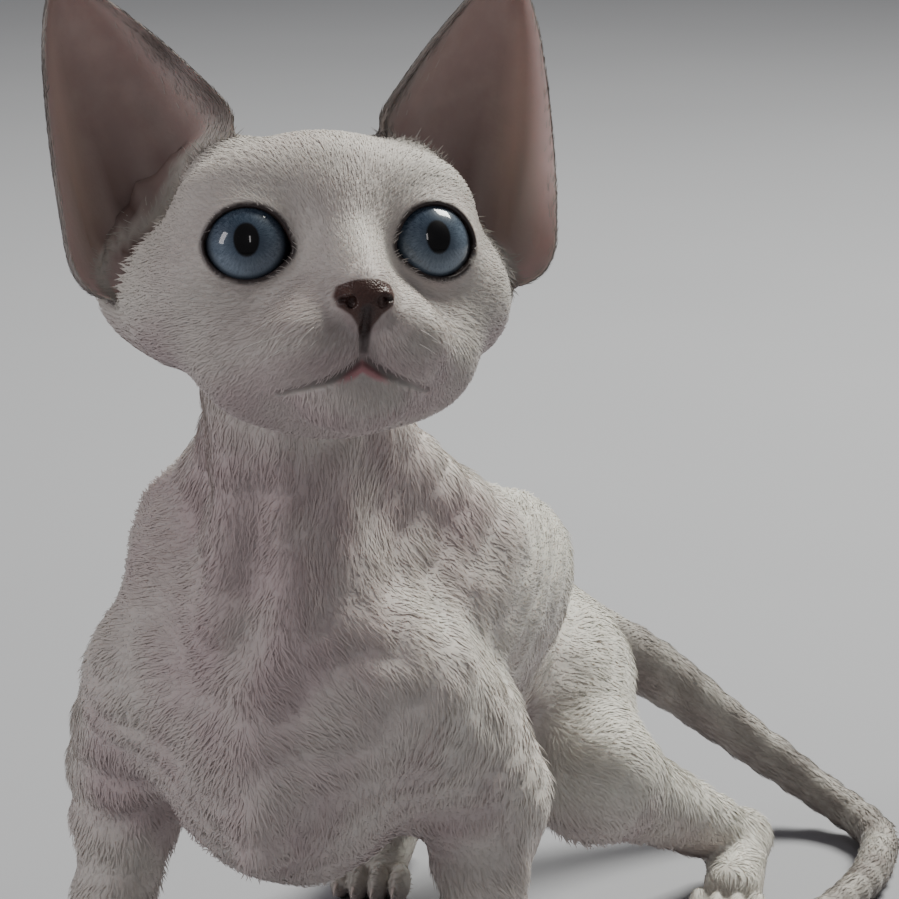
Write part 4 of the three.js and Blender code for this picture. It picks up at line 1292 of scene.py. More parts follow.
# %% Sockets as values
class Wire:
    """A socket of a node tree. Sums on it add Math nodes; add() adds any other node."""

    def __init__(self, tree, socket=None):
        self.tree = tree
        self.socket = socket

    def add(self, kind, settings=None, inputs=None, output=0):
        node = self.tree.nodes.new(kind)
        for name, value in (settings or {}).items():
            setattr(node, name, value)
        for name, value in (inputs or {}).items():
            if isinstance(value, Wire):
                self.tree.links.new(value.socket, node.inputs[name])
            else:
                node.inputs[name].default_value = value
        return Wire(self.tree, node.outputs[output]) if len(node.outputs) else node

    def other(self, name):
        return Wire(self.tree, self.socket.node.outputs[name])

    def math(self, operation, *values):
        inputs = dict(enumerate((self, *values)))
        return self.add("ShaderNodeMath", {"operation": operation}, inputs)

    def __add__(self, value):
        return self.math("ADD", value)

    def __mul__(self, value):
        return self.math("MULTIPLY", value)

    def __sub__(self, value):
        return self.math("SUBTRACT", value)

    def __rsub__(self, value):
        return self.add("ShaderNodeMath", {"operation": "SUBTRACT"}, {0: value, 1: self})

    def __truediv__(self, value):
        return self.math("DIVIDE", value)

    def __rtruediv__(self, value):
        return self.add("ShaderNodeMath", {"operation": "DIVIDE"}, {0: value, 1: self})

    __radd__ = __add__
    __rmul__ = __mul__

    def step(self, low, high):
        settings = {"interpolation_type": "SMOOTHSTEP"}
        return self.add("ShaderNodeMapRange", settings, {"Value": self, "From Min": low, "From Max": high})

    def colour(self, first, second):
        """first where this value is 0, second where it is 1."""
        inputs = {0: self, 6: rgba(first), 7: rgba(second)}
        return self.add("ShaderNodeMix", {"data_type": "RGBA"}, inputs, output=2)

    def noise(self, place, scale, detail=3, roughness=0.55):
        inputs = {"Vector": place, "Scale": scale, "Detail": detail, "Roughness": roughness}
        return self.add("ShaderNodeTexNoise", None, inputs)

    def fact(self, name, output="Fac"):
        return self.add("ShaderNodeAttribute", {"attribute_name": name}, output=output)

    def named(self, name, kind="FLOAT"):
        return self.add("GeometryNodeInputNamedAttribute", {"data_type": kind}, {"Name": name})

    def vectors(self, operation, inputs):
        return self.add("ShaderNodeVectorMath", {"operation": operation}, inputs)


def rgba(colour):
    return colour if isinstance(colour, Wire) else (*colour, 1)


def new_material(name, **settings):
    """A Principled material with its constant sockets set, and a Wire to start from."""
    material = bpy.data.materials.new(name)
    material.use_nodes = True
    shader = material.node_tree.nodes["Principled BSDF"]
    for socket, value in settings.items():
        shader.inputs[socket.replace("_", " ")].default_value = value
    return material, Wire(material.node_tree), shader


def connect(wire, shader, socket):
    wire.tree.links.new(wire.socket, shader.inputs[socket])


# %% [markdown]
# ## The finish of the coat and the skin
#
# The coat is a warm cream that turns pinkish where it is thin and grey-brown at the points. One function
# mixes these from the skin's facts, and both the skin and the tufts use it. The skin adds what only it
# shows: dark nose leather with a fine pebble, dark lid rims, the line of the mouth, painted shade in the
# nostrils, and the bare pinkish brown inside the ears. There the ear's cup gets painted shade deep in the
# middle, its ridges are painted paler, partly for their hair and partly as painted highlight, the fold
# along the outer edge gets a pale painted highlight, and a warm painted glow stands for light shining
# through the ear. Where fur is too fine for tufts it is a bump made of noise.

# %% Coat colour, shared
CREAM = (0.70, 0.675, 0.61)
PINKISH = (0.545, 0.45, 0.44)
POINT_GREY = (0.20, 0.17, 0.155)
LEATHER = (0.045, 0.020, 0.016)
WORN_LEATHER = (0.10, 0.045, 0.034)
LID_RIM = (0.040, 0.028, 0.026)
DARK_LINE_AND_NOSTRIL_SHADE = (0.030, 0.016, 0.015)
LOWER_LIP = (0.52, 0.25, 0.26)
EAR_INSIDE = (0.49, 0.36, 0.33)
EAR_VEINS = (0.57, 0.44, 0.40)
EAR_GLOW = (0.66, 0.50, 0.36)
EAR_PAINTED_SHADE = (0.15, 0.10, 0.085)
EAR_RIDGE_HAIR_AND_HIGHLIGHT = (0.52, 0.43, 0.40)
EAR_FOLD_HIGHLIGHT = (0.80, 0.63, 0.61)


def coat_colour(wire, place):
    patchy = wire.noise(place, 90, 3).step(0.3, 0.7)
    fine = wire.noise(place, 700, 2)
    base = (wire.fact("pink") * (patchy * 0.35 + 0.8)).colour(CREAM, PINKISH)
    pointed = (wire.fact("point") * (fine * 0.5 + 0.75)).math("MINIMUM", 1.0)
    return pointed.colour(base, POINT_GREY)


def make_skin_material():
    material, wire, shader = new_material(
        "skin", Roughness=0.62, Subsurface_Weight=0.12, Subsurface_Scale=0.002
    )
    shader.inputs["Subsurface Radius"].default_value = (1.0, 0.45, 0.3)
    place = wire.add("ShaderNodeTexCoord", output="Object")
    colour = coat_colour(wire, place)
    veins = wire.noise(place, 160, 4).step(0.35, 0.75)
    inside = veins.colour(EAR_INSIDE, EAR_VEINS)
    # painted highlight along the fold by the ear's outer edge
    inside = (wire.fact("fold") * 0.9).colour(inside, EAR_FOLD_HIGHLIGHT)
    # painted glow, standing for light shining through the thin ear
    inside = (wire.fact("glow") * 0.6).colour(inside, EAR_GLOW)
    # painted shade deep in the middle of the ear's cup
    inside = (wire.fact("deep_ear") * 0.9).colour(inside, EAR_PAINTED_SHADE)
    # ridges painted paler: partly their pale hair, partly painted highlight
    inside = (wire.fact("ridge") * 0.55).colour(inside, EAR_RIDGE_HAIR_AND_HIGHLIGHT)
    colour = (wire.fact("inner_ear") * (1 - wire.fact("point") * 0.8)).colour(colour, inside)
    colour = wire.fact("lip").step(0.15, 0.75).colour(colour, LOWER_LIP)
    colour = wire.fact("rim").colour(colour, LID_RIM)
    pebbles = wire.add("ShaderNodeTexVoronoi", {"feature": "F1"}, {"Vector": place, "Scale": 2600})
    leather = (wire.noise(place, 900, 3) * 0.8 + pebbles * 0.3).colour(LEATHER, WORN_LEATHER)
    colour = wire.fact("leather").colour(colour, leather)
    # dark line of the mouth and philtrum, with painted shade in the nostrils
    colour = (wire.fact("line") * 0.95).colour(colour, DARK_LINE_AND_NOSTRIL_SHADE)
    connect(colour, shader, "Base Color")
    shine = wire.fact("leather") * 0.26 + wire.fact("rim") * 0.28 + wire.fact("lip") * 0.2
    connect(0.68 - shine.math("MINIMUM", 0.36), shader, "Roughness")
    furry = 1 - wire.fact("leather").math("MAXIMUM", wire.fact("rim"))
    height = wire.noise(place, 420, 4, 0.6) * furry * 0.6 + pebbles * wire.fact("leather") * 0.35
    bump = wire.add("ShaderNodeBump", None, {"Strength": 0.5, "Distance": 0.0006, "Height": height})
    connect(bump, shader, "Normal")
    return material


skin_material = make_skin_material()
skin.data.materials.clear()
skin.data.materials.append(skin_material)
SKIN_NODES = [name for name in frame["nodes"] if not name.startswith("eye")]
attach(skin, "root")
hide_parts(*SKIN_NODES)
print("the skin stands for", len(SKIN_NODES), "solids")

# %% [markdown]
# ## Tufts
#
# The short wavy coat is made of small locks of hair, each a thin closed body with three sides that
# tapers to a point, rises a little from its root and then lies along the body. A few curls of lock are
# enough: chance turns, lengths and widths do the rest. A lock on the face has two joints, and one on
# the body has three and a stronger curl. Each lock's own map, called patch, runs from root to tip. For
# each kind of lock the numbers are its joints, its share of the curl, its rise and its half width.

# %% Make the locks
LOCK_BEND = 2.4
LOCK_FLATNESS = 0.34
LOCK_SIDES = 3
ROOT_SUNK = 0.02


def lock_mesh(name, joints, curl, rise, width):
    """A lock of length 1 that grows along +Y and lies in the XY plane."""
    around = np.radians([270, 30, 150])
    points, patches = [], []
    for i in range(joints):
        t = i / joints
        height = rise * math.sin(math.pi * min(1, 0.16 + 0.74 * t)) - ROOT_SUNK
        middle = np.array([curl * math.sin(LOCK_BEND * t), t, height])
        girth = width * (1 - 0.62 * t**1.6)
        points += [middle + girth * np.array([math.cos(a), 0, LOCK_FLATNESS * math.sin(a)]) for a in around]
        patches += [(k / 2, t) for k in range(LOCK_SIDES)]
    points.append(np.array([curl * math.sin(LOCK_BEND), 1, rise * 0.35]))
    patches.append((0.5, 1))
    faces = [(2, 1, 0)]
    for i in range(joints - 1):
        for k in range(LOCK_SIDES):
            a, b = LOCK_SIDES * i + k, LOCK_SIDES * i + (k + 1) % LOCK_SIDES
            faces += [(a, b, b + LOCK_SIDES), (a, b + LOCK_SIDES, a + LOCK_SIDES)]
    tip, last = len(points) - 1, LOCK_SIDES * (joints - 1)
    faces += [(last + k, last + (k + 1) % LOCK_SIDES, tip) for k in range(LOCK_SIDES)]
    mesh = bpy.data.meshes.new(name)
    mesh.from_pydata(points, [], faces)
    patch = mesh.uv_layers.new(name="patch")
    corners = np.array([patches[loop.vertex_index] for loop in mesh.loops], np.float32)
    patch.data.foreach_set("uv", corners.ravel())
    return face_outwards(mesh)


CURLS = (-0.16, -0.07, 0.06, 0.17)
LOCK_KINDS = {"short": (2, 0.7, 0.065, 0.06), "wavy": (3, 1.0, 0.06, 0.05)}


def lock_collection(kind):
    joints, curl_share, rise, width = LOCK_KINDS[kind]
    collection = bpy.data.collections.new(kind + "_locks")
    for i, curl in enumerate(CURLS):
        own_rise = rise * (1 + 0.3 * (i % 2))
        mesh = lock_mesh(f"{kind}_lock_{i}", joints, curl * curl_share, own_rise, width)
        collection.objects.link(bpy.data.objects.new(mesh.name, mesh))
    return collection


locks = {kind: lock_collection(kind) for kind in LOCK_KINDS}

# %% [markdown]
# ## Planting the coat
#
# One tree of Geometry Nodes plants the coat on any region of the skin. It scatters roots evenly where the
# region and the density allow, turns each lock so that it stands on the skin and points along the
# lie, lets chance and the waves vary it, and then makes everything real. At the end each lock's corners
# are given their patch of the skin's map, and only the facts that the colour needs are kept.

# %% The planting tree
PATCH_SIZE = 0.003
ROOT_SPACING = 0.62
ROOTS_TRIED = 1.6
TURN_SPREAD = math.radians(16)
LIFT_SPREAD = math.radians(3)
WAVE_LIFT = math.radians(3.5)
KEPT_FACTS = ("point", "pink", "tone", "patch", MAP)


def new_tree(name, titles):
    """An empty tree with its named inputs, a Wire to start from, and a Wire that holds the inputs."""
    tree = bpy.data.node_groups.new(name, "GeometryNodeTree")
    tree.interface.new_socket(name="Geometry", in_out="OUTPUT", socket_type="NodeSocketGeometry")
    for title, kind in titles.items():
        tree.interface.new_socket(name=title, in_out="INPUT", socket_type="NodeSocket" + kind)
    wire = Wire(tree)
    return tree, wire, wire.add("NodeGroupInput")


def end_tree(tree, given, placed, finish, spare):
    """Instances made real, finished, freed of the spare facts, and given their material."""
    made = finish(given.add("GeometryNodeRealizeInstances", None, {"Geometry": placed}))
    for name in spare:
        made = given.add("GeometryNodeRemoveAttribute", None, {"Geometry": made, "Name": name})
    inputs = {"Geometry": made, "Material": given.other("Material")}
    made = given.add("GeometryNodeSetMaterial", None, inputs)
    result = tree.nodes.new("NodeGroupOutput")
    tree.links.new(made.socket, result.inputs[0])
    return tree


def coat_tree():
    titles = {
        "Geometry": "Geometry",
        "Region": "Int",
        "Density": "Float",
        "Thickness": "Float",
        "Seed": "Int",
        "Locks": "Collection",
        "Material": "Material",
    }
    tree, wire, given = new_tree("coat", titles)

    def chance(low, high, seed):
        inputs = {2: low, 3: high, "Seed": given.other("Seed") + seed}
        return wire.add("FunctionNodeRandomValue", {"data_type": "FLOAT"}, inputs, output=1)

    def keep(geometry, name, value, kind="FLOAT", domain="POINT"):
        settings = {"data_type": kind, "domain": domain}
        inputs = {"Geometry": geometry, "Name": name, "Value": value}
        return wire.add("GeometryNodeStoreNamedAttribute", settings, inputs)

    def give_patches(made):
        from_middle = wire.vectors("SUBTRACT", {0: wire.named("patch", "FLOAT_VECTOR"), 1: (0.5, 0.5, 0)})
        small = wire.vectors("SCALE", {0: from_middle, "Scale": PATCH_SIZE})
        spot = wire.vectors("ADD", {0: wire.named("root_map", "FLOAT_VECTOR"), 1: small})
        return keep(made, MAP, spot, "FLOAT2", "CORNER")

    here = wire.add(
        "FunctionNodeCompare",
        {"data_type": "INT", "operation": "EQUAL"},
        {2: wire.named("region", "INT"), 3: given.other("Region")},
    )
    spacing = ROOT_SPACING / given.other("Density").math("SQRT")
    roots = wire.add(
        "GeometryNodeDistributePointsOnFaces",
        {"distribute_method": "POISSON"},
        {
            "Mesh": given,
            "Selection": here,
            "Distance Min": spacing,
            "Density Max": given.other("Density") * ROOTS_TRIED,
            "Density Factor": wire.named("fur_density"),
            "Seed": given.other("Seed"),
        },
    )
    normal = roots.other("Normal")
    points = keep(roots, "root_map", wire.named(MAP, "FLOAT_VECTOR"), "FLOAT_VECTOR")
    points = keep(points, "tone", chance(0.0, 1.0, 11))
    standing = wire.add(
        "FunctionNodeAxesToRotation",
        {"primary_axis": "Z", "secondary_axis": "Y"},
        {0: normal, 1: wire.named("lie", "FLOAT_VECTOR")},
    )
    inputs = {
        0: chance(-0.3, 1.0, 3) * LIFT_SPREAD + wire.named("wave") * WAVE_LIFT,
        2: chance(-1.0, 1.0, 5) * TURN_SPREAD,
    }
    angles = wire.add("ShaderNodeCombineXYZ", None, inputs)
    turn_by = wire.add("FunctionNodeEulerToRotation", None, {0: angles})
    rotation = wire.add("FunctionNodeRotateRotation", {"rotation_space": "LOCAL"}, {0: standing, 1: turn_by})
    size = wire.named("fur_length")
    inputs = {
        0: size * chance(0.7, 1.35, 7) * given.other("Thickness"),
        1: size * chance(0.75, 1.25, 8),
        2: size * chance(0.6, 1.3, 9),
    }
    scale = wire.add("ShaderNodeCombineXYZ", None, inputs)
    inputs = {"Collection": given.other("Locks"), "Separate Children": True, "Reset Children": True}
    lock = wire.add("GeometryNodeCollectionInfo", None, inputs)
    inputs = {
        "Points": points,
        "Instance": lock,
        "Pick Instance": True,
        "Rotation": rotation,
        "Scale": scale,
    }
    placed = wire.add("GeometryNodeInstanceOnPoints", None, inputs)
    spare = [name for name in (*skin_facts, "lie", "region", "root_map") if name not in KEPT_FACTS]
    return end_tree(tree, given, placed, give_patches, spare)


def grow(name, tree, mesh, values):
    """A plain mesh object made by running the tree on the mesh with the named inputs."""
    piece = new_object(name, mesh.copy())
    modifier = piece.modifiers.new("grow", "NODES")
    modifier.node_group = tree
    for item in tree.interface.items_tree:
        if item.in_out == "INPUT" and item.name in values:
            modifier[item.identifier] = values[item.name]
    grown = plain_mesh(piece)
    piece.modifiers.clear()
    piece.data = grown
    return piece


# %% Fur material
def make_fur_material(name, roughness):
    material, wire, shader = new_material(
        name,
        Roughness=roughness,
        Sheen_Weight=0.25,
        Sheen_Roughness=0.4,
        Subsurface_Weight=0.0,
        Specular_IOR_Level=0.3,
    )
    place = wire.add("ShaderNodeTexCoord", output="Object")
    colour = coat_colour(wire, place)
    along = wire.add("ShaderNodeSeparateXYZ", None, {0: wire.fact("patch", "Vector")}).other("Y")
    # a random tone for each lock, and painted shade that darkens it towards the root, where it lies under its
    # neighbours
    tone = wire.fact("tone") * 0.12 + along * 0.08 + 0.86
    grey = wire.add("ShaderNodeCombineColor", None, {0: tone, 1: tone, 2: tone})
    settings = {"data_type": "RGBA", "blend_type": "MULTIPLY"}
    colour = wire.add("ShaderNodeMix", settings, {0: 1.0, 6: colour, 7: grey}, output=2)
    connect(colour, shader, "Base Color")
    return material


fur_material = make_fur_material("fur", 0.6)

# %% [markdown]
# Each region gets its own seed, density and kind of lock. The face, crown and ears have short locks set
# close, and the body has wavy ones set wider. Roots per square millimetre and the lock's width balance
# one another: together they cover the skin, thinly on the breast and throat, where pink shows through.
# The three values of a region are its kind of lock, its roots per square millimetre and their thickness.

# %% Plant the coat, region by region
COAT = {
    "face": ("short", 3.5, 0.92),
    "crown": ("short", 2.9, 1.0),
    "ears": ("short", 1.9, 1.0),
    "neck": ("wavy", 1.65, 0.95),
    "breast": ("wavy", 1.55, 0.95),
    "back": ("wavy", 1.3, 1.05),
    "loin": ("wavy", 1.35, 1.05),
    "forelegs": ("short", 1.7, 1.0),
    "hindlegs": ("short", 1.45, 1.05),
    "tail": ("short", 1.6, 1.1),
}
FIRST_SEED = 20
tree = coat_tree()
coat_faces = 0
for number, part in enumerate(REGIONS):
    kind, per_mm2, thickness = COAT[part]
    values = {
        "Region": number,
        "Density": per_mm2 / MM**2,
        "Thickness": thickness,
        "Seed": FIRST_SEED + number,
        "Locks": locks[kind],
        "Material": fur_material,
    }
    piece = grow("coat_" + part, tree, skin.data, values)
    faces = len(piece.data.polygons)
    coat_faces += faces
    print("coat of the", part, "has", faces, "faces")
    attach(piece, "root")
    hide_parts(*SKIN_NODES)
print("coat:", coat_faces, "faces")

# %% [markdown]
# ## Whiskers and claws
#
# A Devon's whiskers are short, thin and often curled or broken. A few stand on each pad and over each
# eye. The claws are small curved cones drawn back between the toes, so that only their tips show. Both
# are planted by a second, smaller tree: one point for each, with its direction and its length.

# %% A curved taper, and the tree that plants it
def taper_mesh(name, sides, steps, girth, bend):
    """A round taper of length 1 along +Y, bent downwards."""
    rings = []
    for t in np.linspace(0, 1, steps + 1):
        radius = girth * max(0.06, 1 - t)
        angles = np.arange(sides) * 2 * math.pi / sides
        middle = np.array([0, t, -bend * t * t])
        rings.append(middle + radius * np.stack([np.cos(angles), np.zeros(sides), np.sin(angles)], axis=1))
    mesh = ring_mesh(name, np.array(rings))
    shade_smooth(mesh)
    return mesh


def plant_tree():
    titles = {"Geometry": "Geometry", "Taper": "Object", "Material": "Material"}
    tree, wire, given = new_tree("plant", titles)
    points = wire.add("GeometryNodeMeshToPoints", None, {"Mesh": given})
    rotation = wire.add(
        "FunctionNodeAxesToRotation",
        {"primary_axis": "Y", "secondary_axis": "Z"},
        {0: wire.named("way", "FLOAT_VECTOR"), 1: (0.0, 0.0, 1.0)},
    )
    taper = wire.add("GeometryNodeObjectInfo", None, {"Object": given.other("Taper")}).other("Geometry")
    inputs = {"Points": points, "Instance": taper, "Rotation": rotation, "Scale": wire.named("size")}
    placed = wire.add("GeometryNodeInstanceOnPoints", None, inputs)
    return end_tree(tree, given, placed, lambda made: made, ("way", "size"))


plant = plant_tree()


def planted(name, points, ways, sizes, taper, material):
    seeds = bpy.data.meshes.new(name)
    seeds.from_pydata(in_metres(np.array(points)).tolist(), [], [])
    store(seeds, "way", unit(np.array(ways, float)).astype(np.float32), "FLOAT_VECTOR")
    store(seeds, "size", (np.array(sizes) * MM).astype(np.float32))
    stock = bpy.data.objects.new(name + "_taper", taper)
    return grow(name, plant, seeds, {"Taper": stock, "Material": material})


# %% Plant the whiskers
WHISKER_WHITE = (0.80, 0.77, 0.72, 1)
hair_material, _, hair_shader = new_material("whisker", Roughness=0.35, Specular_IOR_Level=0.5)
hair_shader.inputs["Base Color"].default_value = WHISKER_WHITE
WHISKER_ROWS = ((-12.0, 9.5, 3), (-14.2, 8.6, 4), (-16.4, 8.2, 3))
WHISKER_GAP = 2.1
BROW_HAIRS = 2
BROW_HAIR_FIRST = 11.5
BROW_HAIR_GAP = 2.5
BROW_HAIR_HEIGHT = 16.0
chance = np.random.default_rng(6)
whisker_points, whisker_ways, whisker_sizes = [], [], []
for side in SIDES.values():
    for height, first, count in WHISKER_ROWS:
        for i in range(count):
            height_here = height + chance.uniform(-0.5, 0.5)
            place = face_points([side * (first + WHISKER_GAP * i)], [height_here])[0]
            way = np.array([side * (0.8 + 0.12 * i), -0.55 + 0.25 * i, -0.35 + chance.uniform(-0.25, 0.2)])
            whisker_points.append(place)
            whisker_ways.append(way)
            whisker_sizes.append(chance.uniform(4, 9) * (0.7 + 0.1 * i))
    for i in range(BROW_HAIRS):
        across = side * (BROW_HAIR_FIRST + BROW_HAIR_GAP * i)
        whisker_points.append(face_points([across], [BROW_HAIR_HEIGHT])[0])
        whisker_ways.append(np.array([side * 0.35, -0.8, 0.6]))
        whisker_sizes.append(chance.uniform(4, 6))
whisker_points = from_head(np.array(whisker_points))
whisker_ways = np.array(whisker_ways) @ HEAD_TURN.T
hair = taper_mesh("whisker", sides=5, steps=8, girth=0.01, bend=0.18)
whiskers = planted("whiskers", whisker_points, whisker_ways, whisker_sizes, hair, hair_material)
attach(whiskers, "root")
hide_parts("head")
print("whiskers:", len(whisker_points))

# %% Plant the claws
CLAW_DARK = (0.52, 0.44, 0.40)
CLAW_LIGHT = (0.66, 0.58, 0.52)
claw_material, claw_wire, claw_shader = new_material("claw", Roughness=0.3, Coat_Weight=0.3)
claw_place = claw_wire.add("ShaderNodeTexCoord", output="Object")
claw_colour = claw_wire.noise(claw_place, 900, 2).colour(CLAW_DARK, CLAW_LIGHT)
connect(claw_colour, claw_shader, "Base Color")
CLAW_LENGTH = 3.4
CLAW_ROOT = (0, -3.6, 0.6)
CLAW_WAY = (0, -1, -0.25)
all_knuckles = [foreleg_joints(side)[-1] for side in SIDES.values()]
all_knuckles += [np.array(joints[-1], float) for joints in HIND_JOINTS.values()]
claw_points = [centre + CLAW_ROOT for knuckles in all_knuckles for centre in toe_centres(knuckles)]
count = len(claw_points)
claw = taper_mesh("claw", sides=8, steps=6, girth=0.2, bend=0.45)
claws = planted("claws", claw_points, [CLAW_WAY] * count, [CLAW_LENGTH] * count, claw, claw_material)
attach(claws, "root")
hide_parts("forepaw_left", "forepaw_right", "hindpaw_left", "hindpaw_right")
print("claws:", len(claw_points))

# %% [markdown]
# ## Eyes
#
# A kitten's iris fills the whole opening of the lids. The eyeball is a globe with a slightly bulging
# cornea, turned to look where the kitten looks. Its map holds the place across the iris, in millimetres
# from the pupil, and the material paints rings by that distance: an upright oval pupil, a darker ring
# round it, blue fibres, and a dark ring at the iris's edge. The iris is also painted lighter towards the
# bottom: painted light low in the eye, and painted shade under the upper lid. A clear coat gives the wet
# gloss.

# %% Eyeballs
EYE_SIDES = 72
IRIS_RADIUS = 6.7
CORNEA_RISE = 0.45
CORNEA_EDGE = math.radians(58)
PUPIL_HALF_WIDTH = 2.05
PUPIL_HALF_HEIGHT = 2.75
GAZE = {"left": 6, "right": -12}
GAZE_UP = 2
IRIS_DEEP = (0.030, 0.050, 0.080)
IRIS_LIGHT = (0.21, 0.27, 0.34)
IRIS_EDGE = (0.010, 0.012, 0.017)
PUPIL = (0.0015, 0.0015, 0.002)


def eye_mesh(name):
    side = SIDES[name]
    mesh = bpy.data.meshes.new("eyeball_" + name)
    bm = bmesh.new()
    bmesh.ops.create_uvsphere(bm, u_segments=EYE_SIDES, v_segments=EYE_SIDES // 2, radius=EYEBALL_RADIUS)
    bm.to_mesh(mesh)
    bm.free()
    p = points_of(mesh)[:, [0, 2, 1]] * (1, -1, 1)
    away = np.arccos(np.clip(-p[:, 1] / EYEBALL_RADIUS, -1, 1))
    rise = CORNEA_RISE * np.cos(np.clip(away / CORNEA_EDGE, 0, 1) * math.pi / 2) ** 1.5
    p = p * (1 + rise / EYEBALL_RADIUS)[:, None]
    iris_map = mesh.uv_layers.new(name="iris")
    corners = np.array([p[loop.vertex_index][[0, 2]] for loop in mesh.loops])
    iris_map.data.foreach_set("uv", corners.astype(np.float32).ravel())
    looking = about("Z", GAZE[name]) @ about("X", -GAZE_UP)
    set_points(mesh, in_metres(from_head(p @ looking.T + mirrored(EYE_AT, side))))
    shade_smooth(mesh)
    return mesh


def make_eye_material():
    material, wire, shader = new_material(
        "eye",
        Roughness=0.4,
        Specular_IOR_Level=0.1,
        Coat_Weight=1.0,
        Coat_Roughness=0.02,
        Coat_IOR=1.42,
    )
    spot = wire.add("ShaderNodeUVMap", {"uv_map": "iris"})
    parts = wire.add("ShaderNodeSeparateXYZ", None, {0: spot})
    x, z = parts, parts.other("Y")
    reach = (x * x + z * z).math("SQRT")
    angle = z.math("ARCTAN2", x)
    across, upwards = x / PUPIL_HALF_WIDTH, z / PUPIL_HALF_HEIGHT
    pupil_reach = (across * across + upwards * upwards).math("SQRT")
    way = wire.add("ShaderNodeCombineXYZ", None, {0: angle * 2.6, 1: reach * 0.22})
    fibres = wire.noise(way, 5, 5, 0.65)
    spokes = wire.noise(way, 15, 3, 0.6)
    # painted light and shade: the iris is lighter towards the bottom and darker under the upper lid
    below = (z * -0.13 + 0.45).math("MAXIMUM", 0.0).math("MINIMUM", 1.0)
    bright = (fibres - 0.5) * 1.5 + (spokes - 0.5) * 0.9 + below * 0.75 + 0.12
    iris = bright.math("MAXIMUM", 0.0).math("MINIMUM", 1.0).colour(IRIS_DEEP, IRIS_LIGHT)
    iris = (pupil_reach.step(2.1, 1.0) * 0.6).colour(iris, IRIS_DEEP)
    iris = (reach + fibres * 0.8).step(IRIS_RADIUS - 1.2, IRIS_RADIUS + 0.3).colour(iris, IRIS_EDGE)
    iris = (pupil_reach + spokes * 0.08).step(1.16, 0.96).colour(iris, PUPIL)
    connect(iris, shader, "Base Color")
    return material


eye_material = make_eye_material()
for name in SIDES:
    eyeball = new_object("eyeball_" + name, eye_mesh(name))
    eyeball.data.materials.append(eye_material)
    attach(eyeball, "root")
    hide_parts("eye_" + name)
print("eyeballs:", len(SIDES))

# %% [markdown]
# ## The studio
#
# A pale floor, a wide soft light above and behind the kitten's left side, which rims the back and the
# brow, and two weaker ones, in front and at its right, that fill the shade. The camera stands between
# the line of the body and the way the nose points. It is twelve degrees above level and has a short
# telephoto lens.

# %% Floor and lights
FLOOR_SIZE = 14
FLOOR_DARK = (0.33, 0.335, 0.36)
FLOOR_LIGHT = (0.355, 0.36, 0.385)
floor_mesh = bpy.data.meshes.new("floor")
corners = [(x * FLOOR_SIZE / 2, y * FLOOR_SIZE / 2, 0) for x, y in ((-1, -1), (1, -1), (1, 1), (-1, 1))]
floor_mesh.from_pydata(corners, [], [(0, 1, 2, 3)])
floor = new_object("floor", floor_mesh)
floor_material, floor_wire, floor_shader = new_material("floor", Roughness=0.85)
floor_place = floor_wire.add("ShaderNodeTexCoord", output="Object")
floor_tone = floor_wire.noise(floor_place, 6, 2)
connect(floor_tone.colour(FLOOR_DARK, FLOOR_LIGHT), floor_shader, "Base Color")
floor.data.materials.append(floor_material)
floor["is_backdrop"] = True


def soft_light(name, at, towards, size, power, colour):
    lamp = bpy.data.lights.new(name, "AREA")
    lamp.shape = "RECTANGLE"
    lamp.energy = power
    lamp.size, lamp.size_y = size
    lamp.color = colour
    lamp_object = new_object(name, lamp)
    lamp_object.location = at
    lamp_object.rotation_euler = (Vector(towards) - Vector(at)).to_track_quat("-Z", "Y").to_euler()


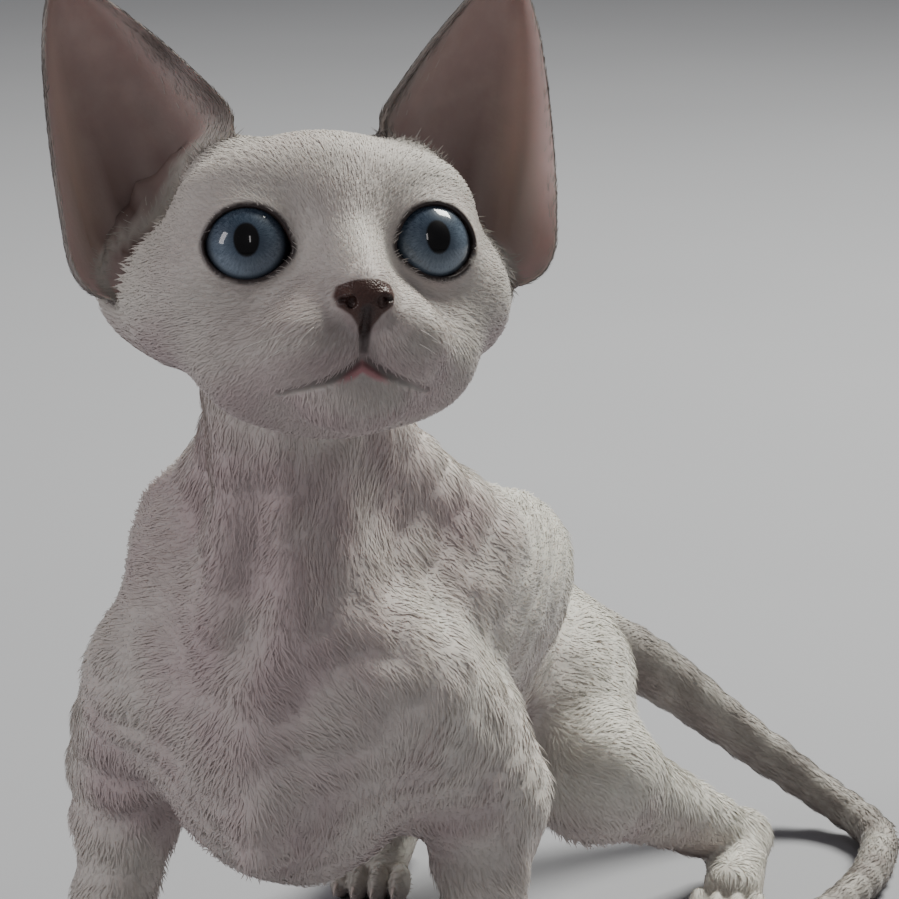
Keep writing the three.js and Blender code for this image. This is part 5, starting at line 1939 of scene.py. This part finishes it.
soft_light("window", (0.40, 0.84, 1.24), (0, -0.02, 0.1), (0.6, 0.6), 42, (1.0, 0.995, 0.92))
soft_light("front", (0.60, -1.28, 1.0), (0, -0.05, 0.12), (0.10, 0.45), 1.0, (1.0, 0.96, 0.97))
soft_light("side", (-0.95, -0.85, 0.75), (0, 0, 0.1), (0.3, 0.6), 5.6, (1.0, 0.95, 0.97))
world = bpy.data.worlds.new("studio")
world.use_nodes = True
background = world.node_tree.nodes["Background"]
background.inputs["Color"].default_value = (0.82, 0.80, 0.86, 1)
background.inputs["Strength"].default_value = 0.17
bpy.context.scene.world = world

# %% The camera
IMAGE_SIDE = 899
PIXELS_PER_MM = 6.06
CAMERA_AWAY = 750
CAMERA_AZIMUTH = math.radians(15)
CAMERA_ELEVATION = math.radians(12)
LOOK_AT = np.array([5.0, -20.0, 150.0])
LOOK_AT_PIXEL = (320, 280)
SENSOR = 36

back = np.array([
    math.sin(CAMERA_AZIMUTH) * math.cos(CAMERA_ELEVATION),
    -math.cos(CAMERA_AZIMUTH) * math.cos(CAMERA_ELEVATION),
    math.sin(CAMERA_ELEVATION),
])
right = np.array([math.cos(CAMERA_AZIMUTH), math.sin(CAMERA_AZIMUTH), 0])
up = np.cross(back, right)
middle = (IMAGE_SIDE - 1) / 2 + 0.5
aside = (LOOK_AT_PIXEL[0] - middle) / PIXELS_PER_MM
above = (middle - LOOK_AT_PIXEL[1]) / PIXELS_PER_MM
camera_at = in_metres(LOOK_AT + back * CAMERA_AWAY - right * aside - up * above)
lens = bpy.data.cameras.new("camera")
lens.sensor_width = SENSOR
lens.lens = SENSOR * PIXELS_PER_MM * CAMERA_AWAY / IMAGE_SIDE
lens.clip_start = 0.05
lens.clip_end = 50
camera = new_object("camera", lens)
camera_axes = np.stack([right, up, back], axis=1)
rows = [(*row, at) for row, at in zip(camera_axes, camera_at)]
camera.matrix_world = Matrix(rows + [(0, 0, 0, 1)])
bpy.context.scene.camera = camera
print("lens, mm:", round(lens.lens, 1), "camera at", camera_at.round(3))

# %% [markdown]
# ## Sizes
#
# The last cell puts the box of the solids and the box of the finished kitten side by side and prints the
# finished kitten's box, so that one can see whether dressing it has changed its size.

# %% Sizes, and the end
visual_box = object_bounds()
sizes = {"cad": [list(corner) for corner in cad_box], "visual": [list(corner) for corner in visual_box]}
print("visual box:", sizes["visual"])
